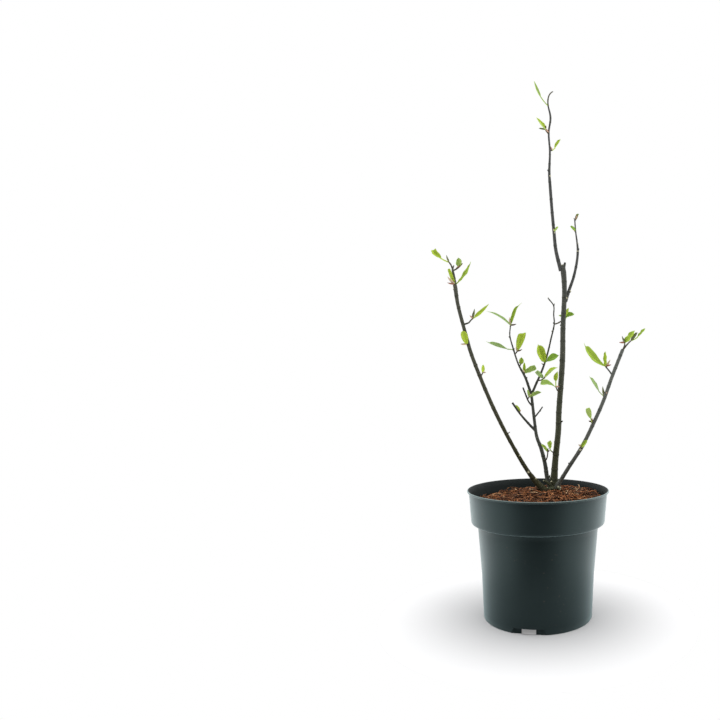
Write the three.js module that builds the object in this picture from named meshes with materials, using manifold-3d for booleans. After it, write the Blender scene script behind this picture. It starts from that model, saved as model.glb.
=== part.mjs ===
// A young deciduous magnolia with four stems, in its first spring leaf, in a round nursery pot.
// Millimetres, +Z up. The origin is the middle of the pot's flat underside. -Y is the front.

import * as THREE from "three";
import { mergeVertices } from "three/addons/utils/BufferGeometryUtils.js";
import Module from "manifold-3d";

const wasm = await Module();
wasm.setup();

const CLEARANCE = 0.3;

// Pot, as radii of its outer face at the heights where the moulding changes
const POT = {
  height: 199,
  wall: 1.6,
  footRadius: 86.9,
  lowerRadius: 90.1,
  lowerHeight: 64,
  upperRadius: 96.5,
  upperHeight: 136,
  stepHeight: 147,
  stepRadius: 97.8,
  bandFootRadius: 107.8,
  bandTopRadius: 111.4,
  lipRadius: 115,
  lipDepth: 5,
  sides: 40,
};

// Underside of the pot: a flat disc and a skirt stand on the ground, with a drain channel between them
const DRAIN = {
  discRadius: 66,
  channelInner: 68.5,
  channelRoof: 9,
  notches: 3,
  firstBearing: 260.5,
  notchFoot: 52,
  notchTop: 45,
  notchHeight: 8.5,
  panelRadius: 82.1,
  panelWidth: 54,
  holeWidth: 22,
  holeCorner: 2.5,
  slotInner: 71,
  slotOuter: 78,
};

// Potting bark, heaped round the foot of the plant and higher on the right
const SOIL = {
  sides: 20,
  level: 184,
  slope: 0.04,
  heap: 9,
  heapSpread: 42,
  lumps: 1.6,
  foot: 11.2,
};

const CROWN = new THREE.Vector2(27, 23);

// Each limb's route is x, y, z and the limb's diameter there, from its foot to its tip
const LIMBS = {
  leader: {
    route: [
      [27, 23, 189, 30],
      [27, 23, 194, 27],
      [27, 23.5, 200, 17],
      [27, 24, 211, 11],
      [29, 23, 243, 9.2],
      [35, 21, 323, 8.4],
      [41, 18, 410, 8.3],
      [42, 17, 465, 8],
      [45, 15, 528, 7.4],
      [44, 14, 556, 9],
      [43, 14, 565, 8],
    ],
    snags: [{ at: 561, reach: 14, bearing: 20, rise: 76, thick: 5 }],
  },
  left_stem: {
    route: [
      [22, 20, 195, 12.5],
      [-2, 14, 206, 10],
      [-15, 8, 224, 8.1],
      [-41, -5, 269, 6.9],
      [-70, -22, 328, 6.3],
      [-94, -39, 387, 5.7],
      [-111, -55, 441, 5.3],
      [-123, -70, 491, 5],
      [-130, -84, 539, 2.8],
    ],
    snags: [{ at: 206, reach: 10, bearing: 250, rise: 60, thick: 3 }],
  },
  left_twig: {
    route: [
      [-114, -60, 459, 2.6],
      [-108, -63, 465, 2],
      [-102, -66, 469, 1.8],
    ],
  },
  thin_stem: {
    route: [
      [22, 27, 195, 10],
      [16, 32, 210, 7.5],
      [12, 38, 234, 6.7],
      [5, 45, 261, 6.4],
      [-6, 57, 305, 4.8],
      [-12, 70, 355, 4.2],
    ],
  },
  thin_left: {
    route: [
      [-12, 70, 352, 4.2],
      [-21, 65, 381, 3.6],
      [-33, 61, 404, 3.3],
      [-42, 57, 428, 3.1],
      [-49, 52, 455, 2.6],
      [-48, 50, 470, 2.4],
    ],
    snags: [{ at: 377, reach: 6, bearing: 60, rise: 70, thick: 2.4 }],
  },
  thin_right: {
    route: [
      [-12, 70, 350, 4.2],
      [-4, 71, 369, 3.9],
      [7, 73, 394, 3.4],
      [16, 74, 421, 3],
      [22, 76, 450, 2.7],
      [30, 77, 478, 2.4],
      [29, 79, 510, 2],
      [18, 80, 524, 1.8],
    ],
    snags: [{ at: 508, reach: 7, bearing: 60, rise: 75, thick: 1.8 }],
  },
  twig_left_low: {
    route: [
      [-3, 54, 288, 3],
      [-17, 53, 301, 2.4],
      [-30, 50, 317, 2.1],
      [-44, 44, 338, 2],
    ],
  },
  twig_right_low: {
    route: [
      [-7, 59, 311, 2.6],
      [3, 68, 323, 2.1],
      [8, 74, 330, 1.8],
    ],
    snags: [{ at: 323, reach: 4, bearing: 300, rise: 0, thick: 2 }],
  },
  twig_left_mid: {
    route: [
      [-10, 64, 332, 3],
      [-16, 62, 339, 2.5],
      [-21, 55, 351, 2.4],
      [-26, 48, 364, 2.2],
    ],
  },
  leader_top: {
    route: [
      [40, 14, 560, 6.4],
      [29, 12, 595, 5.2],
      [27, 11, 624, 4.5],
      [23, 9, 662, 4],
      [20, 7, 701, 3.5],
      [19, 6, 723, 4.3],
      [20, 4, 760, 2.7],
      [18, 2, 792, 2.3],
      [21, 1, 817, 2.1],
      [17, 0, 837, 1.8],
    ],
  },
  side_branch: {
    route: [
      [46, 15, 509, 7],
      [52, 22, 527, 5],
      [61, 29, 553, 4.1],
      [66, 38, 584, 3.9],
      [69, 44, 603, 4.2],
      [66, 53, 638, 2.3],
      [65, 60, 663, 1.8],
    ],
    snags: [{ at: 602, reach: 7, bearing: 340, rise: 25, thick: 2.4 }],
  },
  right_stem: {
    route: [
      [29, 20, 195, 10],
      [37, 13, 210, 7.4],
      [52, 2, 237, 6.9],
      [70, -10, 268, 6.5],
      [86, -23, 303, 5.8],
      [100, -38, 340, 5.4],
      [114, -54, 382, 5],
      [130, -72, 425, 4.6],
    ],
  },
  right_twig: {
    route: [
      [116, -54, 381, 2.6],
      [111, -52, 391, 1.9],
      [105, -54, 398, 1.8],
    ],
  },
};

// A spray grows from a limb at a height: a short spur, young leaves at its end, and bud scales.
// Bearings turn from +X towards +Y, rise is above the level, and turn brings a leaf's face from
// the sky round to the front. Stalk and bow are shares of the leaf's length.
const SPRAYS = {
  spray_leader_tip: {
    limb: "leader_top", at: 837, spur: { long: 30, bearing: 45, rise: 66 },
    leaves: [{ long: 46, wide: 8, bearing: 205, rise: 58, turn: -12, stalk: 0.4, fromFoot: true }],
  },
  spray_leader_upper: {
    limb: "leader_top", at: 794, spur: { long: 4, bearing: 205, rise: 35 },
    leaves: [
      { long: 28, wide: 12, bearing: 208, rise: 32, turn: 35 },
      { long: 20, wide: 4, bearing: 150, rise: 25, turn: 10 },
    ],
    scales: [{ long: 6, bearing: 180, rise: 80 }],
  },
  spray_leader_side: {
    limb: "leader_top", at: 763, spur: { long: 4, bearing: 30, rise: 35 },
    leaves: [{ long: 27, wide: 10, bearing: 28, rise: 48, turn: -25, stalk: 0.35 }],
    scales: [{ long: 6, bearing: 350, rise: 30 }],
  },
  spray_leader_knot: {
    limb: "leader_top", at: 626, spur: { long: 5, bearing: 320, rise: 40 },
    leaves: [{ long: 9, wide: 5, bearing: 316, rise: 40, turn: 40 }],
  },
  spray_leader_middle: {
    limb: "leader", at: 356, spur: { long: 14, bearing: 245, rise: 30 },
    leaves: [
      { long: 31, wide: 11, bearing: 208, rise: 18, turn: 45 },
      { long: 28, wide: 11, bearing: 225, rise: 80, turn: 55, stalk: 0.3 },
    ],
    scales: [{ long: 6, bearing: 330, rise: 10 }],
  },
  spray_leader_low: {
    limb: "leader", at: 255, spur: { long: 7, bearing: 220, rise: 30 },
    leaves: [{ long: 23, wide: 10, bearing: 222, rise: 42, turn: 45, stalk: 0.3 }],
  },
  spray_side_tip: {
    limb: "side_branch", at: 663, spur: { long: 5, bearing: 90, rise: 70 },
    leaves: [{ long: 14, wide: 5, bearing: 39, rise: 53, turn: 40 }],
    scales: [{ long: 8, bearing: 330, rise: 75 }],
  },
  spray_side_upper: {
    limb: "side_branch", at: 636, spur: { long: 4, bearing: 210, rise: 35 },
    leaves: [{ long: 14, wide: 6, bearing: 212, rise: 38, turn: 35 }],
    scales: [{ long: 5, bearing: 180, rise: 60 }],
  },
  spray_behind: {
    limb: "thin_right", at: 477, spur: { long: 22, bearing: 8, rise: 34 },
    leaves: [
      { long: 23, wide: 11, bearing: 27, rise: 14, turn: 45, stalk: 0.12 },
      { long: 17, wide: 6, bearing: 45, rise: 60, turn: 40 },
      { long: 12, wide: 7, bearing: 175, rise: 35, turn: -40 },
      { long: 16, wide: 8, bearing: 95, rise: 25, turn: -70 },
    ],
  },
  spray_left_tip: {
    limb: "left_stem", at: 539, spur: { long: 20, bearing: 204, rise: 60 },
    leaves: [{ long: 34, wide: 12, bearing: 154, rise: 37, turn: -35, stalk: 0.35 }],
    scales: [{ long: 9, bearing: 200, rise: 75 }],
  },
  spray_left_spur: {
    limb: "left_stem", at: 535, spur: { long: 15, bearing: 50, rise: 48 },
    leaves: [{ long: 19, wide: 9, bearing: 94, rise: 57, turn: 70 }],
    scales: [{ long: 8, bearing: 350, rise: 45 }],
  },
  spray_left_fork: {
    limb: "left_stem", at: 515, spur: { long: 5, bearing: 230, rise: 40 },
    leaves: [{ long: 27, wide: 10, bearing: 200, rise: 66, turn: 30 }],
    scales: [
      { long: 9, bearing: 190, rise: 35 },
      { long: 8, bearing: 220, rise: 55 },
    ],
  },
  spray_left_high: {
    limb: "left_stem", at: 518, spur: { long: 5, bearing: 340, rise: 35 },
    leaves: [{ long: 45, wide: 9, bearing: 342, rise: 55, turn: -20, bow: 0.12 }],
  },
  spray_left_twig: {
    limb: "left_twig", at: 469, spur: { long: 4, bearing: 335, rise: 35 },
    leaves: [{ long: 34, wide: 12, bearing: 339, rise: 37, turn: -28 }],
    scales: [
      { long: 8, bearing: 10, rise: 75 },
      { long: 6, bearing: 190, rise: 60 },
    ],
  },
  spray_left_front: {
    limb: "left_stem", at: 427, spur: { long: 7, bearing: 262, rise: 25 },
    leaves: [{ long: 25, wide: 13, bearing: 222, rise: 64, turn: 85 }],
    scales: [{ long: 7, bearing: 190, rise: 25 }],
  },
  spray_left_inner: {
    limb: "left_stem", at: 382, spur: { long: 8, bearing: 60, rise: 30 },
    leaves: [{ long: 16, wide: 7, bearing: 87, rise: 60, turn: 45 }],
    scales: [{ long: 5, bearing: 10, rise: 10 }],
  },
  spray_thin_left_tip: {
    limb: "thin_left", at: 470, spur: { long: 4, bearing: 180, rise: 75 },
    leaves: [
      { long: 52, wide: 12, bearing: 164, rise: 35, turn: -12, stalk: 0.2 },
      { long: 43, wide: 12, bearing: 329, rise: 57, turn: -35 },
    ],
    scales: [
      { long: 13, bearing: 190, rise: 84 },
      { long: 9, bearing: 0, rise: 15 },
    ],
  },
  spray_thin_left_high: {
    limb: "thin_left", at: 429, spur: { long: 4, bearing: 200, rise: 20 },
    leaves: [{ long: 48, wide: 14, bearing: 192, rise: 17, turn: -28, stalk: 0.25 }],
  },
  spray_thin_left_inner: {
    limb: "thin_left", at: 418, spur: { long: 5, bearing: 40, rise: 35 },
    leaves: [{ long: 41, wide: 17, bearing: 45, rise: 66, turn: 70, stalk: 0.2 }],
    scales: [
      { long: 12, bearing: 150, rise: 75 },
      { long: 9, bearing: 350, rise: 20 },
    ],
  },
  spray_thin_left_low: {
    limb: "thin_left", at: 402, spur: { long: 4, bearing: 70, rise: 40 },
    leaves: [{ long: 18, wide: 9, bearing: 73, rise: 47, turn: -70 }],
  },
  spray_thin_left_fork: {
    limb: "thin_left", at: 387, spur: { long: 5, bearing: 50, rise: 30 },
    leaves: [
      { long: 22, wide: 8, bearing: 105, rise: 69, turn: 35 },
      { long: 24, wide: 10, bearing: 25, rise: 31, turn: -55 },
    ],
    scales: [{ long: 6, bearing: 150, rise: 50 }],
  },
  spray_thin_right_low: {
    limb: "thin_right", at: 377, spur: { long: 10, bearing: 326, rise: 20 },
    leaves: [
      { long: 19, wide: 9, bearing: 230, rise: 38, turn: -50 },
      { long: 30, wide: 10, bearing: 338, rise: 37, turn: 32 },
    ],
    scales: [{ long: 5, bearing: 300, rise: 10 }],
  },
  spray_thin_right_high: {
    limb: "thin_right", at: 403, spur: { long: 4, bearing: 250, rise: 30 },
    leaves: [
      { long: 39, wide: 18, bearing: 212, rise: 64, turn: 82, stalk: 0.08 },
      { long: 30, wide: 13, bearing: 350, rise: 31, turn: -60 },
    ],
    scales: [{ long: 9, bearing: 165, rise: 25 }],
  },
  spray_twig_mid: {
    limb: "twig_left_mid", at: 345, spur: { long: 5, bearing: 350, rise: 25 },
    leaves: [
      { long: 16, wide: 8, bearing: 140, rise: 70, turn: -45 },
      { long: 28, wide: 10, bearing: 333, rise: 20, turn: -25 },
    ],
    scales: [{ long: 6, bearing: 330, rise: 60 }],
  },
  spray_twig_low: {
    limb: "twig_left_low", at: 320, spur: { long: 4, bearing: 100, rise: 50 },
    leaves: [{ long: 17, wide: 6, bearing: 143, rise: 55, turn: 30 }],
    scales: [{ long: 6, bearing: 60, rise: 35 }],
  },
  spray_thin_foot: {
    limb: "thin_stem", at: 240, spur: { long: 21, bearing: 292, rise: 44 },
    leaves: [
      { long: 19, wide: 7, bearing: 200, rise: 47, turn: 40 },
      { long: 8, wide: 3, bearing: 285, rise: 75, turn: 30 },
    ],
    scales: [{ long: 5, bearing: 320, rise: 40 }],
  },
  spray_right_tip: {
    limb: "right_stem", at: 425, spur: { long: 10, bearing: 335, rise: 55 },
    leaves: [{ long: 29, wide: 12, bearing: 333, rise: 52, turn: 45, stalk: 0.12 }],
    scales: [
      { long: 13, bearing: 190, rise: 78 },
      { long: 9, bearing: 190, rise: 35 },
    ],
  },
  spray_right_end: {
    limb: "right_stem", at: 419, spur: { long: 24, bearing: 325, rise: 44 },
    leaves: [
      { long: 18, wide: 5, bearing: 325, rise: 58, turn: 20, stalk: 0.05 },
      { long: 29, wide: 8, bearing: 17, rise: 36, turn: 25 },
    ],
  },
  spray_right_twig: {
    limb: "right_twig", at: 398, spur: { long: 4, bearing: 190, rise: 60 },
    leaves: [
      { long: 49, wide: 18, bearing: 200, rise: 45, turn: 38, stalk: 0.12, bow: 0.15 },
      { long: 22, wide: 8, bearing: 82, rise: 77, turn: 40 },
    ],
    scales: [
      { long: 9, bearing: 0, rise: 30 },
      { long: 9, bearing: 30, rise: 60 },
    ],
  },
  spray_right_middle: {
    limb: "right_stem", at: 348, spur: { long: 5, bearing: 165, rise: 50 },
    leaves: [{ long: 38, wide: 12, bearing: 155, rise: 54, turn: -25, stalk: 0.25 }],
    scales: [
      { long: 16, bearing: 100, rise: 78 },
      { long: 8, bearing: 330, rise: 50 },
    ],
  },
  spray_right_lower: {
    limb: "right_stem", at: 307, spur: { long: 6, bearing: 225, rise: 45 },
    leaves: [{ long: 24, wide: 11, bearing: 223, rise: 64, turn: -50, stalk: 0.25 }],
    scales: [
      { long: 8, bearing: 190, rise: 75 },
      { long: 7, bearing: 320, rise: 50 },
    ],
  },
  spray_right_low: {
    limb: "right_stem", at: 265, spur: { long: 6, bearing: 280, rise: 40 },
    leaves: [{ long: 16, wide: 7, bearing: 319, rise: 45, turn: 30 }],
    scales: [{ long: 6, bearing: 200, rise: 40 }],
  },
};

const LIMB_PITCH = 20;
const STOUT_SIDES = 8;
const TWIG_SIDES = 6;
const TWIG_THICK = 3.2;
const SPUR_THICK = 2.6;
const SPUR_TIP = 1.8;
const LEAF_THICK = 0.6;
const STALK_THICK = 1.2;
const DEFAULT_STALK = 0.15;
const SCALE_WIDE = 0.36;
const SCALE_SIDES = 4;

const POT_GREEN = { color: 0x23292a, roughness: 0.45, metalness: 0 };
const BARK_MULCH = { color: 0x5a4335, roughness: 0.95, metalness: 0 };
const BARK = { color: 0x3f3f36, roughness: 0.85, metalness: 0 };
const LEAF_GREEN = { color: 0x8fae3a, roughness: 0.55, metalness: 0 };

// Solids and meshes

function solid(geometry) {
  geometry.deleteAttribute("normal");
  geometry.deleteAttribute("uv");
  const merged = mergeVertices(geometry, 1e-4);
  const index = merged.index.array;
  const triangles = [];
  for (let i = 0; i < index.length; i += 3) {
    const [a, b, c] = [index[i], index[i + 1], index[i + 2]];
    if (a !== b && b !== c && c !== a) triangles.push(a, b, c);
  }
  return new wasm.Manifold(new wasm.Mesh({
    numProp: 3,
    vertProperties: new Float32Array(merged.attributes.position.array),
    triVerts: new Uint32Array(triangles),
  }));
}

function largest(body) {
  const pieces = body.decompose();
  return pieces.reduce((best, piece) => (piece.volume() > best.volume() ? piece : best));
}

function meshOf(name, body, finish) {
  const { vertProperties, triVerts } = body.getMesh();
  const geometry = new THREE.BufferGeometry();
  geometry.setAttribute("position", new THREE.BufferAttribute(vertProperties, 3));
  geometry.setIndex(new THREE.BufferAttribute(triVerts, 1));
  geometry.computeVertexNormals();
  const mesh = new THREE.Mesh(geometry, new THREE.MeshStandardMaterial(finish));
  mesh.name = name;
  return mesh;
}

function seeded(seed) {
  let state = seed * 7919 + 17;
  return () => {
    state = (state * 1664525 + 1013904223) % 4294967296;
    return state / 4294967296;
  };
}

const radians = (degrees) => THREE.MathUtils.degToRad(degrees);

function heading(bearing, rise) {
  const level = Math.cos(radians(rise));
  return new THREE.Vector3(
    level * Math.cos(radians(bearing)),
    level * Math.sin(radians(bearing)),
    Math.sin(radians(rise)),
  );
}

// Limbs: a round section carried along a smooth curve, tapering from point to point

function routeCurve(route) {
  const points = route.map(([x, y, z]) => new THREE.Vector3(x, y, z));
  return new THREE.CatmullRomCurve3(points, false, "centripetal");
}

function stationsOf(route) {
  const stations = [];
  const spans = route.length - 1;
  for (let span = 0; span < spans; span += 1) {
    const [from, to] = [new THREE.Vector3(...route[span]), new THREE.Vector3(...route[span + 1])];
    const steps = Math.max(1, Math.round(from.distanceTo(to) / LIMB_PITCH));
    for (let step = 0; step < steps; step += 1) stations.push((span + step / steps) / spans);
  }
  stations.push(1);
  return stations;
}

const sidesOf = (route) => (route[0][3] > TWIG_THICK ? STOUT_SIDES : TWIG_SIDES);

function thicknessAt(route, share) {
  const place = share * (route.length - 1);
  const span = Math.min(Math.floor(place), route.length - 2);
  return THREE.MathUtils.lerp(route[span][3], route[span + 1][3], place - span);
}

function limbBody(route, extra, sides = sidesOf(route)) {
  const curve = routeCurve(route);
  const stations = stationsOf(route);
  const rings = [];
  let across = new THREE.Vector3(1, 0, 0);
  for (const share of stations) {
    const along = curve.getTangent(share);
    across = across.clone().addScaledVector(along, -across.dot(along)).normalize();
    const centre = curve.getPoint(share);
    if (share === 0) centre.addScaledVector(along, -extra);
    if (share === 1) centre.addScaledVector(along, extra);
    rings.push({
      centre,
      across,
      beside: new THREE.Vector3().crossVectors(across, along),
      radius: thicknessAt(route, share) / 2 + extra / Math.cos(Math.PI / sides),
    });
  }
  const geometry = new THREE.CylinderGeometry(1, 1, 1, sides, rings.length - 1);
  const place = geometry.attributes.position;
  for (let i = 0; i < place.count; i += 1) {
    const ring = rings[Math.round((place.getY(i) + 0.5) * (rings.length - 1))];
    const point = ring.centre.clone()
      .addScaledVector(ring.across, place.getX(i) * ring.radius)
      .addScaledVector(ring.beside, place.getZ(i) * ring.radius);
    place.setXYZ(i, point.x, point.y, point.z);
  }
  return solid(geometry);
}

// The point on a limb's centre line at a height
function pointAtHeight(route, height) {
  const curve = routeCurve(route);
  let [low, high] = [0, 1];
  for (let pass = 0; pass < 24; pass += 1) {
    const middle = (low + high) / 2;
    if (curve.getPoint(middle).z < height) low = middle;
    else high = middle;
  }
  return curve.getPoint((low + high) / 2);
}

function straightRoute(from, direction, long, thickFoot, thickTip) {
  const to = from.clone().addScaledVector(direction, long);
  return [[...from.toArray(), thickFoot], [...to.toArray(), thickTip]];
}

function limbWithSnags(limb, extra) {
  let body = limbBody(limb.route, extra);
  for (const snag of limb.snags ?? []) {
    const foot = pointAtHeight(limb.route, snag.at);
    const stub = straightRoute(foot, heading(snag.bearing, snag.rise), snag.reach, snag.thick, snag.thick / 2);
    body = body.add(limbBody(stub, extra));
  }
  return body;
}

// Leaves: a stalk and a blade broadest past its middle, folded along the midrib and bowed

const LEAF_ROWS = [0, 0.28, 0.62, 0.87, 1];

function bladeShape(share) {
  const [rise, fall, fullest] = [1.1, 0.7, 0.3004];
  return (share ** rise * (1 - share) ** fall) / fullest;
}

function leafBody(base, leaf, random) {
  const along = heading(leaf.bearing, leaf.rise);
  const skyward = heading(leaf.bearing, leaf.rise + 90);
  const forward = new THREE.Vector3().crossVectors(along, skyward);
  if (forward.y > 0) forward.negate();
  const face = skyward.multiplyScalar(Math.cos(radians(leaf.turn)))
    .addScaledVector(forward, Math.sin(radians(leaf.turn)));
  const side = new THREE.Vector3().crossVectors(along, face);
  const fold = Math.tan(radians(22 + 20 * random()));
  const usualBow = 0.03 + 0.06 * random();
  const bow = -leaf.long * (leaf.bow ?? usualBow);
  const stalk = leaf.stalk ?? DEFAULT_STALK;
  const geometry = new THREE.BoxGeometry(1, 1, 1, 2, LEAF_ROWS.length, 1);
  const place = geometry.attributes.position;
  for (let i = 0; i < place.count; i += 1) {
    const row = Math.round((place.getY(i) + 0.5) * LEAF_ROWS.length);
    const share = row === 0 ? 0 : stalk + (1 - stalk) * LEAF_ROWS[row - 1];
    const blade = row === 0 ? 0 : bladeShape(LEAF_ROWS[row - 1]);
    const halfWidth = Math.max(STALK_THICK / 2, (leaf.wide / 2) * blade);
    const thick = row < 2 ? STALK_THICK : LEAF_THICK;
    const out = place.getX(i) * 2 * halfWidth;
    const lift = blade > 0 ? Math.abs(out) * fold : 0;
    const point = base.clone()
      .addScaledVector(along, share * leaf.long)
      .addScaledVector(face, lift + bow * 4 * share * (1 - share) + place.getZ(i) * thick)
      .addScaledVector(side, out);
    place.setXYZ(i, point.x, point.y, point.z);
  }
  return solid(geometry);
}

function scaleBody(base, scale) {
  const tip = base.clone().addScaledVector(heading(scale.bearing, scale.rise), scale.long);
  const middle = base.clone().lerp(tip, 0.5);
  const route = [
    [...base.toArray(), 1.2],
    [...middle.toArray(), Math.max(1.6, scale.long * SCALE_WIDE)],
    [...tip.toArray(), 0.8],
  ];
  return limbBody(route, 0, SCALE_SIDES);
}

// A spray is one solid, and stands clear of the limb that bears it and of everything beside it

function sprayBody(spec, number, limbs, neighbours) {
  const random = seeded(number + 1);
  const foot = pointAtHeight(LIMBS[spec.limb].route, spec.at);
  const spurRoute = straightRoute(
    foot, heading(spec.spur.bearing, spec.spur.rise), spec.spur.long, SPUR_THICK, SPUR_TIP,
  );
  const end = new THREE.Vector3(...spurRoute[1]);
  let body = limbBody(spurRoute, 0);
  for (const leaf of spec.leaves) {
    const base = leaf.fromFoot ? foot : end.clone().addScaledVector(heading(leaf.bearing, leaf.rise), -0.6);
    const blade = leafBody(base, leaf, random);
    const others = limbs.filter((limb) => limb.name !== spec.limb).map((limb) => limb.fat);
    const touches = [...others, ...neighbours].some((other) => blade.intersect(other).volume() > 0);
    if (!touches) body = body.add(blade);
  }
  for (const scale of spec.scales ?? []) body = body.add(scaleBody(end, scale));
  for (const limb of limbs) body = body.subtract(limb.fat);
  return largest(body);
}

// Pot

function turned(outline, sides) {
  const points = outline.map(([radius, height]) => new THREE.Vector2(radius, height));
  const geometry = new THREE.LatheGeometry(points, sides);
  geometry.rotateX(Math.PI / 2);
  return solid(geometry);
}

function potBody() {
  const { wall } = POT;
  const inner = (radius) => radius - wall;
  const roofTop = DRAIN.channelRoof + wall;
  const outline = [
    [0, 0],
    [DRAIN.discRadius, 0],
    [DRAIN.channelInner, DRAIN.channelRoof],
    [inner(POT.footRadius), DRAIN.channelRoof],
    [inner(POT.footRadius), 0],
    [POT.footRadius - 0.6, 0],
    [POT.footRadius, 1],
    [POT.lowerRadius, POT.lowerHeight],
    [POT.upperRadius, POT.upperHeight],
    [POT.stepRadius, POT.stepHeight],
    [POT.bandFootRadius - 0.6, POT.stepHeight],
    [POT.bandFootRadius, POT.stepHeight + 1.5],
    [POT.bandTopRadius, POT.height - POT.lipDepth - 0.8],
    [POT.lipRadius - 0.8, POT.height - POT.lipDepth],
    [POT.lipRadius, POT.height - POT.lipDepth + 1],
    [POT.lipRadius, POT.height - 1.2],
    [POT.lipRadius - 1.4, POT.height],
    [POT.bandTopRadius - 1.4, POT.height],
    [inner(POT.bandTopRadius) - 0.4, POT.height - POT.lipDepth],
    [inner(POT.bandFootRadius), POT.stepHeight + 2 * wall],
    [inner(POT.stepRadius), POT.stepHeight + wall],
    [inner(POT.upperRadius), POT.upperHeight],
    [inner(POT.lowerRadius), POT.lowerHeight],
    [inner(POT.footRadius) + 0.5, roofTop],
    [DRAIN.channelInner - wall, roofTop],
    [DRAIN.discRadius - wall, wall],
    [0, wall],
  ];
  let body = turned(outline, POT.sides);
  for (let i = 0; i < DRAIN.notches; i += 1) {
    const bearing = DRAIN.firstBearing + (i * 360) / DRAIN.notches;
    body = body.subtract(radially(notchShape(), 72, POT.lowerRadius + 2, bearing));
    for (const side of [-1, 1]) {
      const panel = radially(panelShape(side), DRAIN.panelRadius - wall, DRAIN.panelRadius, bearing);
      body = body.add(panel);
    }
    body = body.subtract(radially(slotShape(), DRAIN.slotInner, DRAIN.slotOuter, bearing));
  }
  return body;
}

// An outline across the radius and up, drawn out from one radius to another and turned to a bearing
function radially(shape, inner, outer, bearing) {
  const geometry = new THREE.ExtrudeGeometry(shape, {
    depth: outer - inner,
    bevelEnabled: false,
    curveSegments: 3,
  });
  geometry.rotateX(Math.PI / 2);
  geometry.translate(0, outer, 0);
  geometry.rotateZ(radians(bearing - 90));
  return solid(geometry);
}

function notchShape() {
  const [foot, top] = [DRAIN.notchFoot / 2, DRAIN.notchTop / 2];
  const shape = new THREE.Shape();
  shape.moveTo(-foot, -1);
  shape.lineTo(foot, -1);
  shape.lineTo(top, DRAIN.notchHeight);
  shape.lineTo(-top, DRAIN.notchHeight);
  shape.closePath();
  return shape;
}

// The set-back panel on one side of the drain hole, with its lower inner corner rounded
function panelShape(side) {
  const [hole, corner] = [DRAIN.holeWidth / 2, DRAIN.holeCorner];
  const [end, top] = [DRAIN.panelWidth / 2, DRAIN.channelRoof + POT.wall / 2];
  const shape = new THREE.Shape();
  shape.moveTo(side * end, 0);
  shape.lineTo(side * end, top);
  shape.lineTo(side * hole, top);
  shape.lineTo(side * hole, corner);
  const [from, to] = side > 0 ? [Math.PI, 1.5 * Math.PI] : [0, -0.5 * Math.PI];
  shape.absarc(side * (hole + corner), corner, corner, from, to, side < 0);
  shape.closePath();
  return shape;
}

function slotShape() {
  const half = DRAIN.holeWidth / 2;
  const shape = new THREE.Shape();
  shape.moveTo(-half, DRAIN.channelRoof - 1);
  shape.lineTo(half, DRAIN.channelRoof - 1);
  shape.lineTo(half, DRAIN.channelRoof + POT.wall + 0.1);
  shape.lineTo(-half, DRAIN.channelRoof + POT.wall + 0.1);
  shape.closePath();
  return shape;
}

// Potting bark

function soilHeight(x, y) {
  const fromCrown = (x - CROWN.x) ** 2 + (y - CROWN.y) ** 2;
  const heap = SOIL.heap * Math.exp(-fromCrown / (2 * SOIL.heapSpread ** 2));
  const lumps = SOIL.lumps * Math.sin(x / 9 + 1) * Math.sin(y / 11 + 2);
  return SOIL.level + SOIL.slope * x + heap + lumps;
}

function soilBody() {
  const inside = (radius) => radius - POT.wall - CLEARANCE - 0.1;
  const top = 170;
  const outline = [
    [0, POT.wall + CLEARANCE],
    [DRAIN.discRadius - POT.wall - CLEARANCE - 1, POT.wall + CLEARANCE],
    [DRAIN.channelInner - POT.wall - CLEARANCE, SOIL.foot],
    [inside(POT.footRadius), SOIL.foot],
    [inside(POT.lowerRadius), POT.lowerHeight],
    [inside(POT.upperRadius), POT.upperHeight],
    [inside(POT.stepRadius) - 0.3, POT.stepHeight + 3],
    [inside(POT.bandFootRadius) - 0.3, POT.stepHeight + 5],
    [inside(POT.bandTopRadius) - 1.9, top],
    [88, top + 1],
    [66, top + 1],
    [44, top + 1],
    [22, top + 1],
    [0, top + 1],
  ];
  const points = outline.map(([radius, height]) => new THREE.Vector2(radius, height));
  const geometry = new THREE.LatheGeometry(points, SOIL.sides);
  geometry.rotateX(Math.PI / 2);
  const place = geometry.attributes.position;
  for (let i = 0; i < place.count; i += 1) {
    if (place.getZ(i) > top - 0.5) place.setZ(i, soilHeight(place.getX(i), place.getY(i)));
  }
  return solid(geometry);
}

// Assembly

const plant = new THREE.Group();
plant.add(meshOf("pot", potBody(), POT_GREEN));

const limbs = [];
for (const [name, limb] of Object.entries(LIMBS)) {
  let body = limbWithSnags(limb, 0);
  for (const earlier of limbs) body = body.subtract(earlier.fat);
  limbs.push({ name, body: largest(body), fat: limbWithSnags(limb, CLEARANCE) });
}

let soil = soilBody();
for (const limb of limbs) soil = soil.subtract(limb.fat);
plant.add(meshOf("soil", largest(soil), BARK_MULCH));
for (const limb of limbs) plant.add(meshOf(limb.name, limb.body, BARK));

const sprays = [];
Object.entries(SPRAYS).forEach(([name, spec], number) => {
  const body = sprayBody(spec, number, limbs, sprays);
  sprays.push(body);
  plant.add(meshOf(name, body, LEAF_GREEN));
});

export default plant;
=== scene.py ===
# A young deciduous magnolia with four stems, in its first spring leaf, in a round nursery pot.
# +Z is up, -Y is the front, and the origin is the middle of the pot's flat underside. Lengths are in
# metres for the view and the floor, and in millimetres from the pot on. Angles are in degrees.

import math
import random
from collections import namedtuple

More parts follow.
